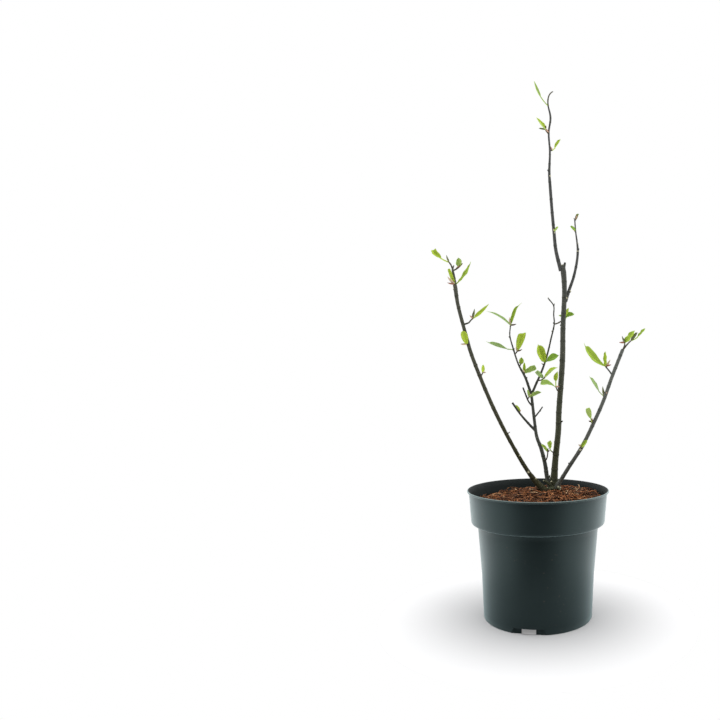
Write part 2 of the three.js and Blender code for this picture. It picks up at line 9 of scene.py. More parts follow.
import bpy
import numpy as np
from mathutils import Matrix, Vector


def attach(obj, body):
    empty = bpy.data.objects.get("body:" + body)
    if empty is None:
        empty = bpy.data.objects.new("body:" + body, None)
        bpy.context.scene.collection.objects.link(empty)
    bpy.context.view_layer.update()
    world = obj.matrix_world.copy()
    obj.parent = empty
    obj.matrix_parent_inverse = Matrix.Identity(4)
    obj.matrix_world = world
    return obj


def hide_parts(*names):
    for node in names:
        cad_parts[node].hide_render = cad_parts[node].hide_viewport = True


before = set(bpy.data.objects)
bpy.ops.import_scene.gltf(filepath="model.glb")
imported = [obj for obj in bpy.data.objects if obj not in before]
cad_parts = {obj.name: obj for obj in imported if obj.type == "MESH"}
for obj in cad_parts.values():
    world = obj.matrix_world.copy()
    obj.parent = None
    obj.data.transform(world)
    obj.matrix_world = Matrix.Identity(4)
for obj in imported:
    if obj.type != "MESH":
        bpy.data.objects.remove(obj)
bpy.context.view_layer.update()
bpy.ops.object.select_all(action="DESELECT")
MM = 0.001

# View and light. The plant is seen from in front at the height of its lower twigs, almost level,
# and stands to the right of the picture. A white tent round it is brightest at both sides and
# overhead, and open towards the camera.

CAMERA_BACK = 0.975
CAMERA_HEIGHT = 0.363
CAMERA_TILT = 2.72
PHOTO_SIDE = 720
FOCAL_PIXELS = 592.65
POT_AXIS_PIXEL = 538
SENSOR = 36
TENT_OPENING = 0.02
OPENING_FROM, OPENING_TO = 0.45, 0.95
TENT_SIDES = 2.2
TENT_BACK_DIM = 0.4
OVERHEAD_STRENGTH = 0.5
OVERHEAD_ANGLE = 120
OVERHEAD_HEIGHT = 2

bpy.ops.object.camera_add(
    location=(0, -CAMERA_BACK, CAMERA_HEIGHT),
    rotation=(math.radians(90 + CAMERA_TILT), 0, 0),
)
camera = bpy.context.object
camera.data.sensor_width = SENSOR
camera.data.lens = FOCAL_PIXELS / PHOTO_SIDE * SENSOR
camera.data.shift_x = (PHOTO_SIDE / 2 - POT_AXIS_PIXEL) / PHOTO_SIDE
bpy.context.scene.camera = camera
bpy.context.scene.view_settings.view_transform = "Standard"

bpy.ops.object.light_add(type="SUN", location=(0, 0, OVERHEAD_HEIGHT))
overhead = bpy.context.object
overhead.data.energy = OVERHEAD_STRENGTH
overhead.data.angle = math.radians(OVERHEAD_ANGLE)


class Wire:
    """An output of a shader node. Arithmetic on it adds Math nodes to its tree."""

    def __init__(self, tree, socket=None):
        self.tree = tree
        self.socket = socket

    def node(self, kind, settings, inputs, output=0):
        """Adds a node, makes its settings, then fills its sockets with values or wires."""
        made = self.tree.nodes.new("ShaderNode" + kind)
        for name, value in settings.items():
            setattr(made, name, value)
        for name, value in inputs.items():
            if isinstance(value, Wire):
                self.tree.links.new(value.socket, made.inputs[name])
            elif made.inputs[name].type == "RGBA":
                made.inputs[name].default_value = (*value, 1)
            else:
                made.inputs[name].default_value = value
        return Wire(self.tree, made.outputs[output] if made.outputs else None)

    def maths(self, operation, *values):
        return self.node("Math", {"operation": operation}, dict(enumerate(values)))

    def __add__(self, other):
        return self.maths("ADD", self, other)

    __radd__ = __add__

    def __mul__(self, other):
        return self.maths("MULTIPLY", self, other)

    __rmul__ = __mul__

    def __sub__(self, other):
        return self.maths("SUBTRACT", self, other)

    def __rsub__(self, other):
        return self.maths("SUBTRACT", other, self)

    def between(self, low, high):
        """0 where this is low or less, 1 where it is high or more, and smooth in the middle."""
        inputs = {"Value": self, "From Min": low, "From Max": high}
        return self.node("MapRange", {"interpolation_type": "SMOOTHSTEP"}, inputs)


bpy.context.scene.world = bpy.data.worlds.new("tent")
bpy.context.scene.world.use_nodes = True
tent_tree = bpy.context.scene.world.node_tree
tent_tree.nodes.clear()
start = Wire(tent_tree)
direction = start.node("TexCoord", {}, {}, "Generated")
towards_back = start.node("SeparateXYZ", {}, {"Vector": direction}, "Y")
in_front = start.maths("MAXIMUM", 0 - towards_back, 0)
behind = start.maths("MAXIMUM", towards_back, 0)
off_the_sides = in_front.between(OPENING_FROM, OPENING_TO) + behind * behind * TENT_BACK_DIM
tent_light = TENT_SIDES - off_the_sides * (TENT_SIDES - TENT_OPENING)
plain_backdrop = start.node("LightPath", {}, {}, "Is Camera Ray")
strength = tent_light + plain_backdrop * (1 - tent_light)
tent = start.node("Background", {}, {"Color": (1, 1, 1), "Strength": strength})
start.node("OutputWorld", {}, {"Surface": tent})

# Floor. A round table covered with plain matt white paper, which is no part of the object. The pot's
# soft shadow is painted on the paper as a grey that fades out from the pot. The paper also glows
# under the pot, a painted light that keeps the gap in the drain notch pale.

FLOOR_RADIUS = 0.25
FLOOR_SIDES = 96
FLOOR_WHITE = (0.555, 0.555, 0.560)
FLOOR_PAINTED_SHADOW = (0.425, 0.425, 0.430)
SHADOW_FADE_FROM, SHADOW_FADE_TO = 0.07, 0.24
UNDER_POT = 0.081
UNDER_POT_EDGE = 0.002
UNDER_POT_PAINTED_GLOW = 0.25
PAPER_GRAIN = 0.05


def new_finish(name):
    """A material with an empty tree, and the place on its piece to start its nodes from."""
    material = bpy.data.materials.new(name)
    material.use_nodes = True
    material.node_tree.nodes.clear()
    start = Wire(material.node_tree)
    return material, start.node("TexCoord", {}, {}, "Object")


def surface(place, inputs):
    """Ends a material's tree with one Principled shader."""
    shader = place.node("BsdfPrincipled", {}, inputs)
    place.node("OutputMaterial", {}, {"Surface": shader})


def noise(place, scale, detail=3.0, roughness=0.5):
    inputs = {"Vector": place, "Scale": scale, "Detail": detail, "Roughness": roughness}
    return place.node("TexNoise", {}, inputs)


def blend(share, first, second):
    """The first colour where share is 0, and the second where it is 1."""
    factor, first_colour, second_colour, colour_out = 0, 6, 7, 2
    inputs = {factor: share, first_colour: first, second_colour: second}
    return share.node("Mix", {"data_type": "RGBA"}, inputs, colour_out)


def relief(height, distance):
    """A bump this many millimetres high where height is 1."""
    inputs = {"Height": height, "Distance": distance * MM, "Strength": 1}
    return height.node("Bump", {}, inputs)


bpy.ops.mesh.primitive_circle_add(vertices=FLOOR_SIDES, radius=FLOOR_RADIUS, fill_type="NGON")
floor = bpy.context.object
floor.name = "floor"
paper, place = new_finish("white_paper")
from_middle = place.node("VectorMath", {"operation": "LENGTH"}, {0: place}, "Value")
# painted light: the paper glows under the pot, where no lamp is, so the gap in the drain notch stays
# pale
painted_glow_under_pot = 1 - from_middle.between(UNDER_POT, UNDER_POT + UNDER_POT_EDGE)
surface(place, {
    # painted shadow: the paper is greyer near the pot, where the pot's soft shadow falls
    "Base Color": blend(from_middle.between(SHADOW_FADE_FROM, SHADOW_FADE_TO), FLOOR_PAINTED_SHADOW, FLOOR_WHITE),
    "Roughness": 0.9,
    "Emission Color": blend(painted_glow_under_pot, (0, 0, 0), (1, 1, 1)),
    "Emission Strength": UNDER_POT_PAINTED_GLOW,
    "Normal": relief(noise(place, 900.0), PAPER_GRAIN),
})
floor.data.materials.append(paper)

# Pot. A 23 cm nursery pot, moulded in one shot of thin satin polypropylene: a tapered body, a
# square step out to a deep band, and a rolled lip. Three drain notches are cut in its skirt, each
# with a set-back flange at both sides of a slot in the drain channel's roof.

POT_SIDES = 144
POT_WALL = 1.6
POT_HEIGHT = 199
LIP_RADIUS = 115
LIP_DEPTH = 5
BAND_TOP = 111.4
BAND_FOOT = 107.8
STEP_HEIGHT = 147
STEP_RADIUS = 97.8
UPPER_RADIUS, UPPER_HEIGHT = 96.5, 136
LOWER_RADIUS, LOWER_HEIGHT = 90.1, 64
FOOT_RADIUS = 86.9
DISC_RADIUS = 66
CHANNEL_INNER = 68.5
CHANNEL_ROOF = 9
NOTCH_BEARINGS = (260.5, 20.5, 140.5)
NOTCH_FOOT = 52
NOTCH_TOP = 45
NOTCH_HEIGHT = 8.5
FLANGE_RADIUS = 82.1
FLANGE_WIDTH = 16
HOLE_WIDTH = 22
SLOT_INNER, SLOT_OUTER = 71, 78
MIDDLE_CAP = 0.5
EDGE_ROUND, EDGE_ANGLE, SMOOTH_ANGLE = 0.5, 28, 35
POT_GRAIN = 0.03
POT_GREEN = (0.0012, 0.0030, 0.0032)
POT_GREEN_WORN = (0.0038, 0.0070, 0.0072)
POT_DUST = (0.11, 0.065, 0.04)
LIP_HIGHLIGHT_EDGE = 1.4
LIP_PAINTED_HIGHLIGHT = (0.070, 0.088, 0.084)
INSIDE_SHADE_GREY = (0.0090, 0.0130, 0.0128)
INSIDE_LEAN = 0.1


def extruded_ring(name, outline, sides):
    """Extrudes a ring from point to point of an outline of radii and heights, and caps its ends."""
    outline = [(radius * MM, height * MM) for radius, height in outline]
    radius, height = outline[0]
    bpy.ops.mesh.primitive_circle_add(
        vertices=sides, radius=radius, location=(0, 0, height), fill_type="NGON"
    )
    made = bpy.context.object
    made.name = name
    bpy.ops.object.transform_apply(location=True)
    bpy.ops.object.mode_set(mode="EDIT")
    for next_radius, next_height in outline[1:]:
        bpy.ops.mesh.extrude_region_move(
            TRANSFORM_OT_translate={"value": (0, 0, next_height - height)}
        )
        growth = next_radius / radius
        bpy.ops.transform.resize(
            value=(growth, growth, 1), center_override=(0, 0, next_height)
        )
        radius, height = next_radius, next_height
    bpy.ops.mesh.select_all(action="SELECT")
    bpy.ops.mesh.normals_make_consistent(inside=False)
    bpy.ops.object.mode_set(mode="OBJECT")
    return made


def select_only(piece):
    bpy.ops.object.select_all(action="DESELECT")
    piece.select_set(True)
    bpy.context.view_layer.objects.active = piece


def apply_modifier(piece, kind, **settings):
    bpy.context.view_layer.objects.active = piece
    modifier = piece.modifiers.new(kind.lower(), kind)
    for name, value in settings.items():
        setattr(modifier, name, value)
    bpy.ops.object.modifier_apply(modifier=modifier.name)


def boolean(piece, tool, operation):
    """Joins a tool to a piece or cuts it away, and deletes it."""
    apply_modifier(piece, "BOOLEAN", object=tool, operation=operation, solver="EXACT")
    bpy.data.objects.remove(tool)


def block(bearing, inner, outer, low, high, left, right):
    """A block that lies across the pot's radius at a bearing."""
    sizes = inner, outer, low, high, left, right
    inner, outer, low, high, left, right = (size * MM for size in sizes)
    turn = math.radians(bearing)
    reach, across = (inner + outer) / 2, (left + right) / 2
    outward = Vector((math.cos(turn), math.sin(turn), 0))
    sideways = Vector((math.sin(turn), -math.cos(turn), 0))
    centre = outward * reach + sideways * across + Vector((0, 0, (low + high) / 2))
    bpy.ops.object.select_all(action="DESELECT")
    bpy.ops.mesh.primitive_cube_add(
        size=1, location=centre, rotation=(0, 0, turn), scale=(outer - inner, right - left, high - low)
    )
    return bpy.context.object


inner_wall = [
    (LIP_RADIUS - 2.6, POT_HEIGHT - 0.5),
    (BAND_TOP - POT_WALL + 0.8, POT_HEIGHT - LIP_DEPTH),
    (BAND_TOP - POT_WALL - 0.4, POT_HEIGHT - 2 * LIP_DEPTH),
    (BAND_FOOT - POT_WALL, STEP_HEIGHT + 2 * POT_WALL),
    (STEP_RADIUS - POT_WALL, STEP_HEIGHT + POT_WALL),
    (UPPER_RADIUS - POT_WALL, UPPER_HEIGHT),
    (LOWER_RADIUS - POT_WALL, LOWER_HEIGHT),
    (FOOT_RADIUS - POT_WALL + 0.5, CHANNEL_ROOF + POT_WALL),
    (CHANNEL_INNER - POT_WALL, CHANNEL_ROOF + POT_WALL),
    (DISC_RADIUS - POT_WALL, POT_WALL),
    (MIDDLE_CAP, POT_WALL),
]
outer_wall = [
    (MIDDLE_CAP, 0),
    (DISC_RADIUS, 0),
    (CHANNEL_INNER, CHANNEL_ROOF),
    (FOOT_RADIUS - POT_WALL, CHANNEL_ROOF),
    (FOOT_RADIUS - POT_WALL, 0),
    (FOOT_RADIUS - 0.6, 0),
    (FOOT_RADIUS, 1),
    (FOOT_RADIUS + 0.5, NOTCH_HEIGHT + 2),
    (LOWER_RADIUS, LOWER_HEIGHT),
    (UPPER_RADIUS, UPPER_HEIGHT),
    (STEP_RADIUS, STEP_HEIGHT),
    (BAND_FOOT - 4.2, STEP_HEIGHT),
    (BAND_FOOT - 2.2, STEP_HEIGHT + 0.4),
    (BAND_FOOT - 0.9, STEP_HEIGHT + 1.2),
    (BAND_FOOT - 0.2, STEP_HEIGHT + 2.4),
    (BAND_FOOT + 0.1, STEP_HEIGHT + 4.4),
    (BAND_TOP, POT_HEIGHT - LIP_DEPTH - 5),
    (BAND_TOP + 0.3, POT_HEIGHT - LIP_DEPTH),
    (BAND_TOP + 0.5, POT_HEIGHT - 3.2),
    (LIP_RADIUS - 0.8, POT_HEIGHT - 2.8),
    (LIP_RADIUS, POT_HEIGHT - 1.9),
    (LIP_RADIUS, POT_HEIGHT - 1),
    (LIP_RADIUS - 0.5, POT_HEIGHT - 0.3),
    (LIP_RADIUS - 1.3, POT_HEIGHT),
]
pot = extruded_ring("pot_shell", outer_wall + inner_wall, POT_SIDES)

# a notch's cutter is twice as deep as the notch, so its foot is spread twice as far
foot_spread = 2 * NOTCH_FOOT / NOTCH_TOP - 1
for bearing in NOTCH_BEARINGS:
    notch = block(
        bearing, SLOT_OUTER, LOWER_RADIUS, -NOTCH_HEIGHT, NOTCH_HEIGHT, -NOTCH_TOP / 2, NOTCH_TOP / 2
    )
    for corner in notch.data.vertices:
        if corner.co.z < 0:
            corner.co.y *= foot_spread
    boolean(pot, notch, "DIFFERENCE")
    for side in (-1, 1):
        near, far = side * HOLE_WIDTH / 2, side * (HOLE_WIDTH / 2 + FLANGE_WIDTH)
        flange = block(
            bearing, FLANGE_RADIUS - POT_WALL, FLANGE_RADIUS, 0, CHANNEL_ROOF + POT_WALL / 2,
            min(near, far), max(near, far),
        )
        boolean(pot, flange, "UNION")
    slot = block(
        bearing, SLOT_INNER, SLOT_OUTER, CHANNEL_ROOF - 1, CHANNEL_ROOF + 2 * POT_WALL,
        -HOLE_WIDTH / 2, HOLE_WIDTH / 2,
    )
    boolean(pot, slot, "DIFFERENCE")

apply_modifier(
    pot, "BEVEL", width=EDGE_ROUND * MM, segments=2, limit_method="ANGLE",
    angle_limit=math.radians(EDGE_ANGLE),
)
select_only(pot)
bpy.ops.object.shade_smooth_by_angle(angle=math.radians(SMOOTH_ANGLE))

pot_plastic, place = new_finish("satin_pot_plastic")
height = place.node("SeparateXYZ", {}, {"Vector": place}, "Z")
handling = noise(place, 9.0, detail=5.0, roughness=0.6)
grain = noise(place, 1400.0, detail=2.0)
# painted highlight: the top of the lip is made paler, standing in for the bright line the light draws
# along it
lip_highlight = height.between((POT_HEIGHT - LIP_HIGHLIGHT_EDGE) * MM, (POT_HEIGHT - LIP_HIGHLIGHT_EDGE / 2) * MM)
specks = noise(place, 170.0).between(0.66, 0.76) * noise(place, 16.0).between(0.48, 0.62)
worn = blend(handling.between(0.35, 0.75) * 0.7, POT_GREEN, POT_GREEN_WORN)
dusty = blend(specks * 0.3, worn, POT_DUST)
surface(place, {
    "Base Color": blend(lip_highlight, dusty, LIP_PAINTED_HIGHLIGHT),
    "Roughness": 0.27 + handling * 0.1 + specks * 0.3,
    "Specular IOR Level": 0.18,
    "Specular Tint": (0.72, 1.0, 1.0),
    "Sheen Weight": 0.33,
    "Sheen Roughness": 0.5,
    "Sheen Tint": (0.68, 0.97, 1.0),
    "Normal": relief(grain, POT_GRAIN),
})
pot.data.materials.append(pot_plastic)
# painted shade: the inside of the pot gets its own duller, less shiny copy of the plastic, standing in
# for the shade within the pot
inside_shade_finish, place = new_finish("shaded_inside_of_pot")
surface(place, {
    "Base Color": INSIDE_SHADE_GREY,
    "Roughness": 0.55 + noise(place, 60.0) * 0.1,
    "Specular IOR Level": 0.12,
})
pot.data.materials.append(inside_shade_finish)
# faces that look in towards the axis take the painted-shade inside finish
for face in pot.data.polygons:
    inward = -face.normal.xy.dot(face.center.xy)
    if inward > INSIDE_LEAN * face.center.xy.length:
        face.material_index = 1
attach(pot, "root")
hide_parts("pot")

# Bark mulch. Damp composted bark and coir fill the pot to just under its rim, heaped round the
# plant and higher at the right. The bed is one body, and loose crumbs, slivers and coir fibres
# lie on it.

BED_LEVEL = 175.5
BED_SLOPE = 0.03
BED_HEAP = 11.5
BED_SPREAD = 44
BED_LUMPS, LUMP_LONG, LUMP_WIDE = 1.6, 9, 11
BED_GAP = 0.5
BED_EDGE_HEIGHT = 170
BED_RING, BED_MIDDLE = 2.4, 2
CRUMB_SIZE, CRUMB_RELIEF = 5, 2.6
CROWN_X, CROWN_Y = 27, 23
MULCH_RADIUS = 106.5
MULCH_DARKER, MULCH_LIGHTER = 0.45, 1.4
MULCH_GRAIN = 0.3
MULCH_BROWNS = {
    "coir_red": (0.206, 0.073, 0.025),
    "bark_brown": (0.074, 0.026, 0.009),
    "dark_peat_and_gap_shade": (0.018, 0.007, 0.004),
    "dry_bark": (0.285, 0.127, 0.053),
    "pale_wood": (0.440, 0.290, 0.160),
}
# crumbs and slivers: how many, the least and most of their length, width and height, how far
# they lean, and their share of each brown
LOOSE_BITS = [
    (2400, ((4, 14), (1.3, 3.4), (0.9, 2.6)), 60, (32, 28, 22, 14, 4)),
    (1300, ((8, 22), (1.2, 3), (0.6, 1.3)), 35, (26, 20, 22, 23, 9)),
]
BIT_LIFT, FIBRE_LIFT, SCATTER = 0.8, 2.2, 2.5
UNEVEN_CORNER = (0.45, 1.15)
FIBRES = 5200
FIBRE_LONG, FIBRE_THICK = (8, 28), (0.7, 1.9)
FIBRE_BEND, FIBRE_ARCH, FIBRE_LEAN = 0.5, 0.22, 30
FIBRE_STEPS, FIBRE_SIDES = 6, 3
FIBRE_BROWNS = (38, 24, 17, 16, 5)
MULCH_SEED = 4


def bed_height(x, y):
    """How high the bed lies: level but for its slope, the heap round the plant and its lumps."""
    from_crown = (x - CROWN_X) ** 2 + (y - CROWN_Y) ** 2
    heap = BED_HEAP * math.exp(-from_crown / (2 * BED_SPREAD**2))
    lumps = BED_LUMPS * math.sin(x / LUMP_LONG + 1) * math.sin(y / LUMP_WIDE + 2)
    return BED_LEVEL + BED_SLOPE * x + heap + lumps


def joined_mesh(name, corners, faces, tints, finishes):
    """One mesh from lists of corners and faces, with the number of a finish for each face."""
    mesh = bpy.data.meshes.new(name)
    mesh.from_pydata((np.array(corners) * MM).tolist(), [], faces)
    for finish in finishes:
        mesh.materials.append(finish)
    mesh.polygons.foreach_set("material_index", tints)
    mesh.polygons.foreach_set("use_smooth", [True] * len(faces))
    mesh.update()
    made = bpy.data.objects.new(name, mesh)
    bpy.context.collection.objects.link(made)
    return made


rings_in = int((MULCH_RADIUS - BED_MIDDLE) / BED_RING)
bed_outline = [
    (MIDDLE_CAP, POT_WALL + BED_GAP),
    (DISC_RADIUS - POT_WALL - 1, POT_WALL + BED_GAP),
    (CHANNEL_INNER - POT_WALL - BED_GAP, CHANNEL_ROOF + POT_WALL + BED_GAP),
    (FOOT_RADIUS - POT_WALL - BED_GAP, CHANNEL_ROOF + POT_WALL + BED_GAP),
    (LOWER_RADIUS - POT_WALL - BED_GAP, LOWER_HEIGHT),
    (UPPER_RADIUS - POT_WALL - BED_GAP, UPPER_HEIGHT),
    (STEP_RADIUS - POT_WALL - BED_GAP, STEP_HEIGHT + 3),
    (BAND_FOOT - POT_WALL - 2 * BED_GAP, STEP_HEIGHT + 5),
    (MULCH_RADIUS + 1, BED_EDGE_HEIGHT),
]
bed_outline += [(MULCH_RADIUS - ring * BED_RING, BED_LEVEL) for ring in range(rings_in)]
bed = extruded_ring("mulch_bed", bed_outline, POT_SIDES)
crumbly = bed.vertex_groups.new(name="crumbly")
for corner in bed.data.vertices:
    if corner.co.z > (BED_LEVEL - 1) * MM:
        corner.co.z = bed_height(corner.co.x / MM, corner.co.y / MM) * MM
        crumbly.add([corner.index], 1, "REPLACE")
crumbs_texture = bpy.data.textures.new("crumbs", "CLOUDS")
crumbs_texture.noise_scale = CRUMB_SIZE * MM
crumbs_texture.noise_depth = 3
apply_modifier(
    bed, "DISPLACE", texture=crumbs_texture, texture_coords="LOCAL", direction="Z",
    strength=CRUMB_RELIEF * MM, mid_level=0.5, vertex_group="crumbly",
)


def shade(colour, times):
    """A colour made this many times as bright."""
    return tuple(times * part for part in colour)


def mixed(first, second, share):
    """A colour this share of the way from the first to the second."""
    return tuple((1 - share) * a + share * b for a, b in zip(first, second))


def mulch_finish(name, colour):
    finish, place = new_finish(name)
    patches = noise(place, 260.0, detail=4.0)
    strands = noise(place, 1500.0)
    darker, lighter = shade(colour, MULCH_DARKER), shade(colour, MULCH_LIGHTER)
    surface(place, {
        "Base Color": blend(patches.between(0.4, 0.6), darker, lighter),
        "Roughness": 0.78 + strands * 0.2,
        "Specular IOR Level": 0.25,
        "Normal": relief(strands, MULCH_GRAIN),
    })
    return finish


mulch_finishes = {name: mulch_finish(name, colour) for name, colour in MULCH_BROWNS.items()}
# the bed takes the darkest peat brown: real peat, and also painted shade where it shows in the gaps
# between the loose bits
bed.data.materials.append(mulch_finishes["dark_peat_and_gap_shade"])
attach(bed, "root")
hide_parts("soil")

crumb_corners = np.array(
    [(x, y, z) for x in (-0.5, 0.5) for y in (-0.5, 0.5) for z in (-0.5, 0.5)]
)
crumb_faces = np.array(
    [(0, 1, 3, 2), (4, 6, 7, 5), (0, 4, 5, 1), (2, 3, 7, 6), (0, 2, 6, 4), (1, 5, 7, 3)]
)


def turned(draw, lean):
    """A turn about the upright by any angle, after a lean of up to this angle."""
    yaw = draw.uniform(0, 2 * math.pi)
    tilt = math.radians(draw.uniform(-lean, lean))
    level = np.array([
        [math.cos(yaw), -math.sin(yaw), 0], [math.sin(yaw), math.cos(yaw), 0], [0, 0, 1]
    ])
    leaning = np.array([
        [math.cos(tilt), 0, math.sin(tilt)], [0, 1, 0], [-math.sin(tilt), 0, math.cos(tilt)]
    ])
    return level @ leaning


def mulch_place(draw, long, lift):
    """A random place on the bed where a bit this long stays inside the pot, about this far up."""
    reach = (MULCH_RADIUS - long / 2) * math.sqrt(draw.random())
    bearing = draw.uniform(0, 2 * math.pi)
    x, y = reach * math.cos(bearing), reach * math.sin(bearing)
    return np.array([x, y, bed_height(x, y) + lift + draw.uniform(-SCATTER, SCATTER)])


draw = random.Random(MULCH_SEED)
corners, faces, tints = [], [], []
for count, ranges, lean, browns in LOOSE_BITS:
    for _ in range(count):
        size = np.array([draw.uniform(*limits) for limits in ranges])
        tint = draw.choices(range(len(browns)), browns)[0]
        uneven = np.array([[draw.uniform(*UNEVEN_CORNER) for _ in range(3)] for _ in crumb_corners])
        body = (crumb_corners * size * uneven) @ turned(draw, lean).T
        body += mulch_place(draw, size[0], BIT_LIFT)
        faces += (crumb_faces + len(corners)).tolist()
        tints += [tint] * len(crumb_faces)
        corners += body.tolist()
crumbs = joined_mesh("mulch_crumbs", corners, faces, tints, mulch_finishes.values())

corners, faces, tints = [], [], []
for _ in range(FIBRES):
    long = draw.uniform(*FIBRE_LONG)
    thick = draw.uniform(*FIBRE_THICK)
    bend = draw.uniform(-FIBRE_BEND, FIBRE_BEND) * long
    arch = draw.uniform(0, FIBRE_ARCH) * long
    turn = turned(draw, FIBRE_LEAN)
    middle = mulch_place(draw, long, FIBRE_LIFT)
    tint = draw.choices(range(len(FIBRE_BROWNS)), FIBRE_BROWNS)[0]
    first = len(corners)
    for step in range(FIBRE_STEPS + 1):
        share = step / FIBRE_STEPS
        swell = 4 * share * (1 - share)
        centre = np.array([(share - 0.5) * long, swell * bend, swell * arch])
        for side in range(FIBRE_SIDES):
            angle = 2 * math.pi * side / FIBRE_SIDES
            rim = np.array([0, math.cos(angle), math.sin(angle)]) * thick / 2
            corners.append((turn @ (centre + rim) + middle).tolist())
    for step in range(FIBRE_STEPS):
        near = first + FIBRE_SIDES * step
        far = near + FIBRE_SIDES
        for side in range(FIBRE_SIDES):
            after = (side + 1) % FIBRE_SIDES
            faces.append((near + side, near + after, far + after, far + side))
    faces.append(tuple(first + (-side) % FIBRE_SIDES for side in range(FIBRE_SIDES)))
    faces.append(tuple(first + FIBRE_SIDES * FIBRE_STEPS + side for side in range(FIBRE_SIDES)))
    tints += [tint] * (FIBRE_SIDES * FIBRE_STEPS + 2)
fibres = joined_mesh("coir_fibres", corners, faces, tints, mulch_finishes.values())
for piece in (crumbs, fibres):
    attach(piece, "root")

# Stems. Live wood: a leader pruned once near its top, an outer stem at each side and a thin one
# behind, all from one knobby crown. The bark is smooth and olive grey with pale lenticels, ringed
# where buds sat, and pale where a shoot was cut.

STEM_PITCH = 2
HALVINGS = 24
STEM_SINK = 12
SINK_TAPER = 0.9
SMOOTHED_OFF = 0.15
FIRST_RING, NEXT_RING, LAST_RING = (12, 30), (14, 34), 0.98
RING_SWELL, RING_STAND, RING_FADE = 1.07, 0.12, 1.2
UNEVEN_STEM = (0.985, 1.015)
# each route is x, y, z and the thickness there, from foot to tip
LIMBS = {
    "leader": [
        (27, 23, 189, 20.5), (27, 23, 194, 17.8), (27, 23.5, 200, 14.6), (27, 24, 211, 12.2),
        (29, 23, 243, 10.2), (34, 22, 292, 9.6), (35, 21, 323, 9.3), (41, 18, 410, 9.1),
        (42, 17, 465, 8.3), (44.5, 15, 528, 7.9), (43, 14, 556, 9.3), (42, 14, 565, 8.2),
    ],
    "leader_top": [
        (38.5, 14, 560, 6.8), (30, 12, 595, 5.7), (27, 11, 624, 5.3), (23.5, 9, 662, 5),
        (20.5, 7, 701, 4.9), (19, 6, 723, 4.4), (20, 4, 760, 3.1), (18, 2, 792, 2.9),
        (21, 1, 817, 3.2), (17, 0, 837, 2.3),
    ],
    "side_branch": [
        (46, 15, 509, 7), (52, 22, 527, 5.2), (61, 29, 553, 4.6), (67.5, 38, 584, 4.2),
        (69, 44, 603, 3.9), (67.8, 48.5, 620, 2.6), (66, 53, 638, 2.2), (65, 60, 660, 2.2),
    ],
    "left_stem": [
        (14, 18, 190, 13), (-2, 14, 207, 9.6), (-15, 8, 224, 7), (-41, -5, 269, 6),
        (-70, -22, 328, 6.2), (-94, -39, 387, 5.8), (-106, -49, 421, 5.7), (-111, -55, 441, 5.4),
        (-123, -70, 491, 5.4), (-126, -77, 515, 6.3), (-129, -84, 540, 3.4), (-129.5, -85, 544, 2.8),
    ],
    "left_twig": [
        (-114, -60, 462, 2.8), (-107, -63, 464, 2.3), (-104, -65, 467, 2), (-102, -66, 469, 1.9),
    ],
    "thin_stem": [
        (22, 27, 195, 10), (16, 32, 210, 7.5), (12, 38, 234, 6.7), (5, 45, 261, 6.4),
        (-2, 50, 279, 5.6), (-6, 57, 305, 5.2), (-12, 70, 355, 4.8),
    ],
    "thin_left": [
        (-12, 70, 352, 4.8), (-22, 65, 381, 4.1), (-34, 61, 404, 2.7), (-42, 57, 428, 2.6),
        (-49, 52, 455, 1.9), (-48, 50, 470, 2),
    ],
    "thin_right": [
        (-12, 70, 350, 4.6), (-4, 71, 369, 4), (7, 73, 394, 3.5), (16, 74, 421, 3.2),
        (23, 76, 450, 2.7), (29, 77, 478, 2.4), (28, 78, 494, 2.1), (28, 79, 510, 1.9),
        (18, 80, 524, 2),
    ],
    "twig_left_low": [
        (-3, 54, 288, 4.4), (-17, 53, 302.5, 4), (-31, 50, 319, 3.3), (-44, 44, 338, 3.4),
    ],
    "twig_right_low": [(-7, 59, 311, 2.8), (3, 68, 323, 2.4), (8, 74, 330, 2)],
    "twig_left_mid": [
        (-10, 64, 332, 3), (-16, 62, 339, 2.6), (-21, 55, 351, 2.6), (-26, 48, 364, 2.5),
    ],
    "right_stem": [
        (29, 20, 195, 10), (37, 13, 210, 6.6), (52.5, 2, 237, 6.1), (71, -10, 268, 6.2),
        (87, -23, 303, 5.9), (102, -38, 340, 5.6), (115.5, -54, 382, 5.4), (129.5, -71, 422, 5.2),
    ],
    "right_twig": [
        (117, -54, 381, 3), (114, -53, 385.5, 2.6), (111, -53, 389.5, 2.3), (106.5, -54, 395, 2.2),
    ],
}
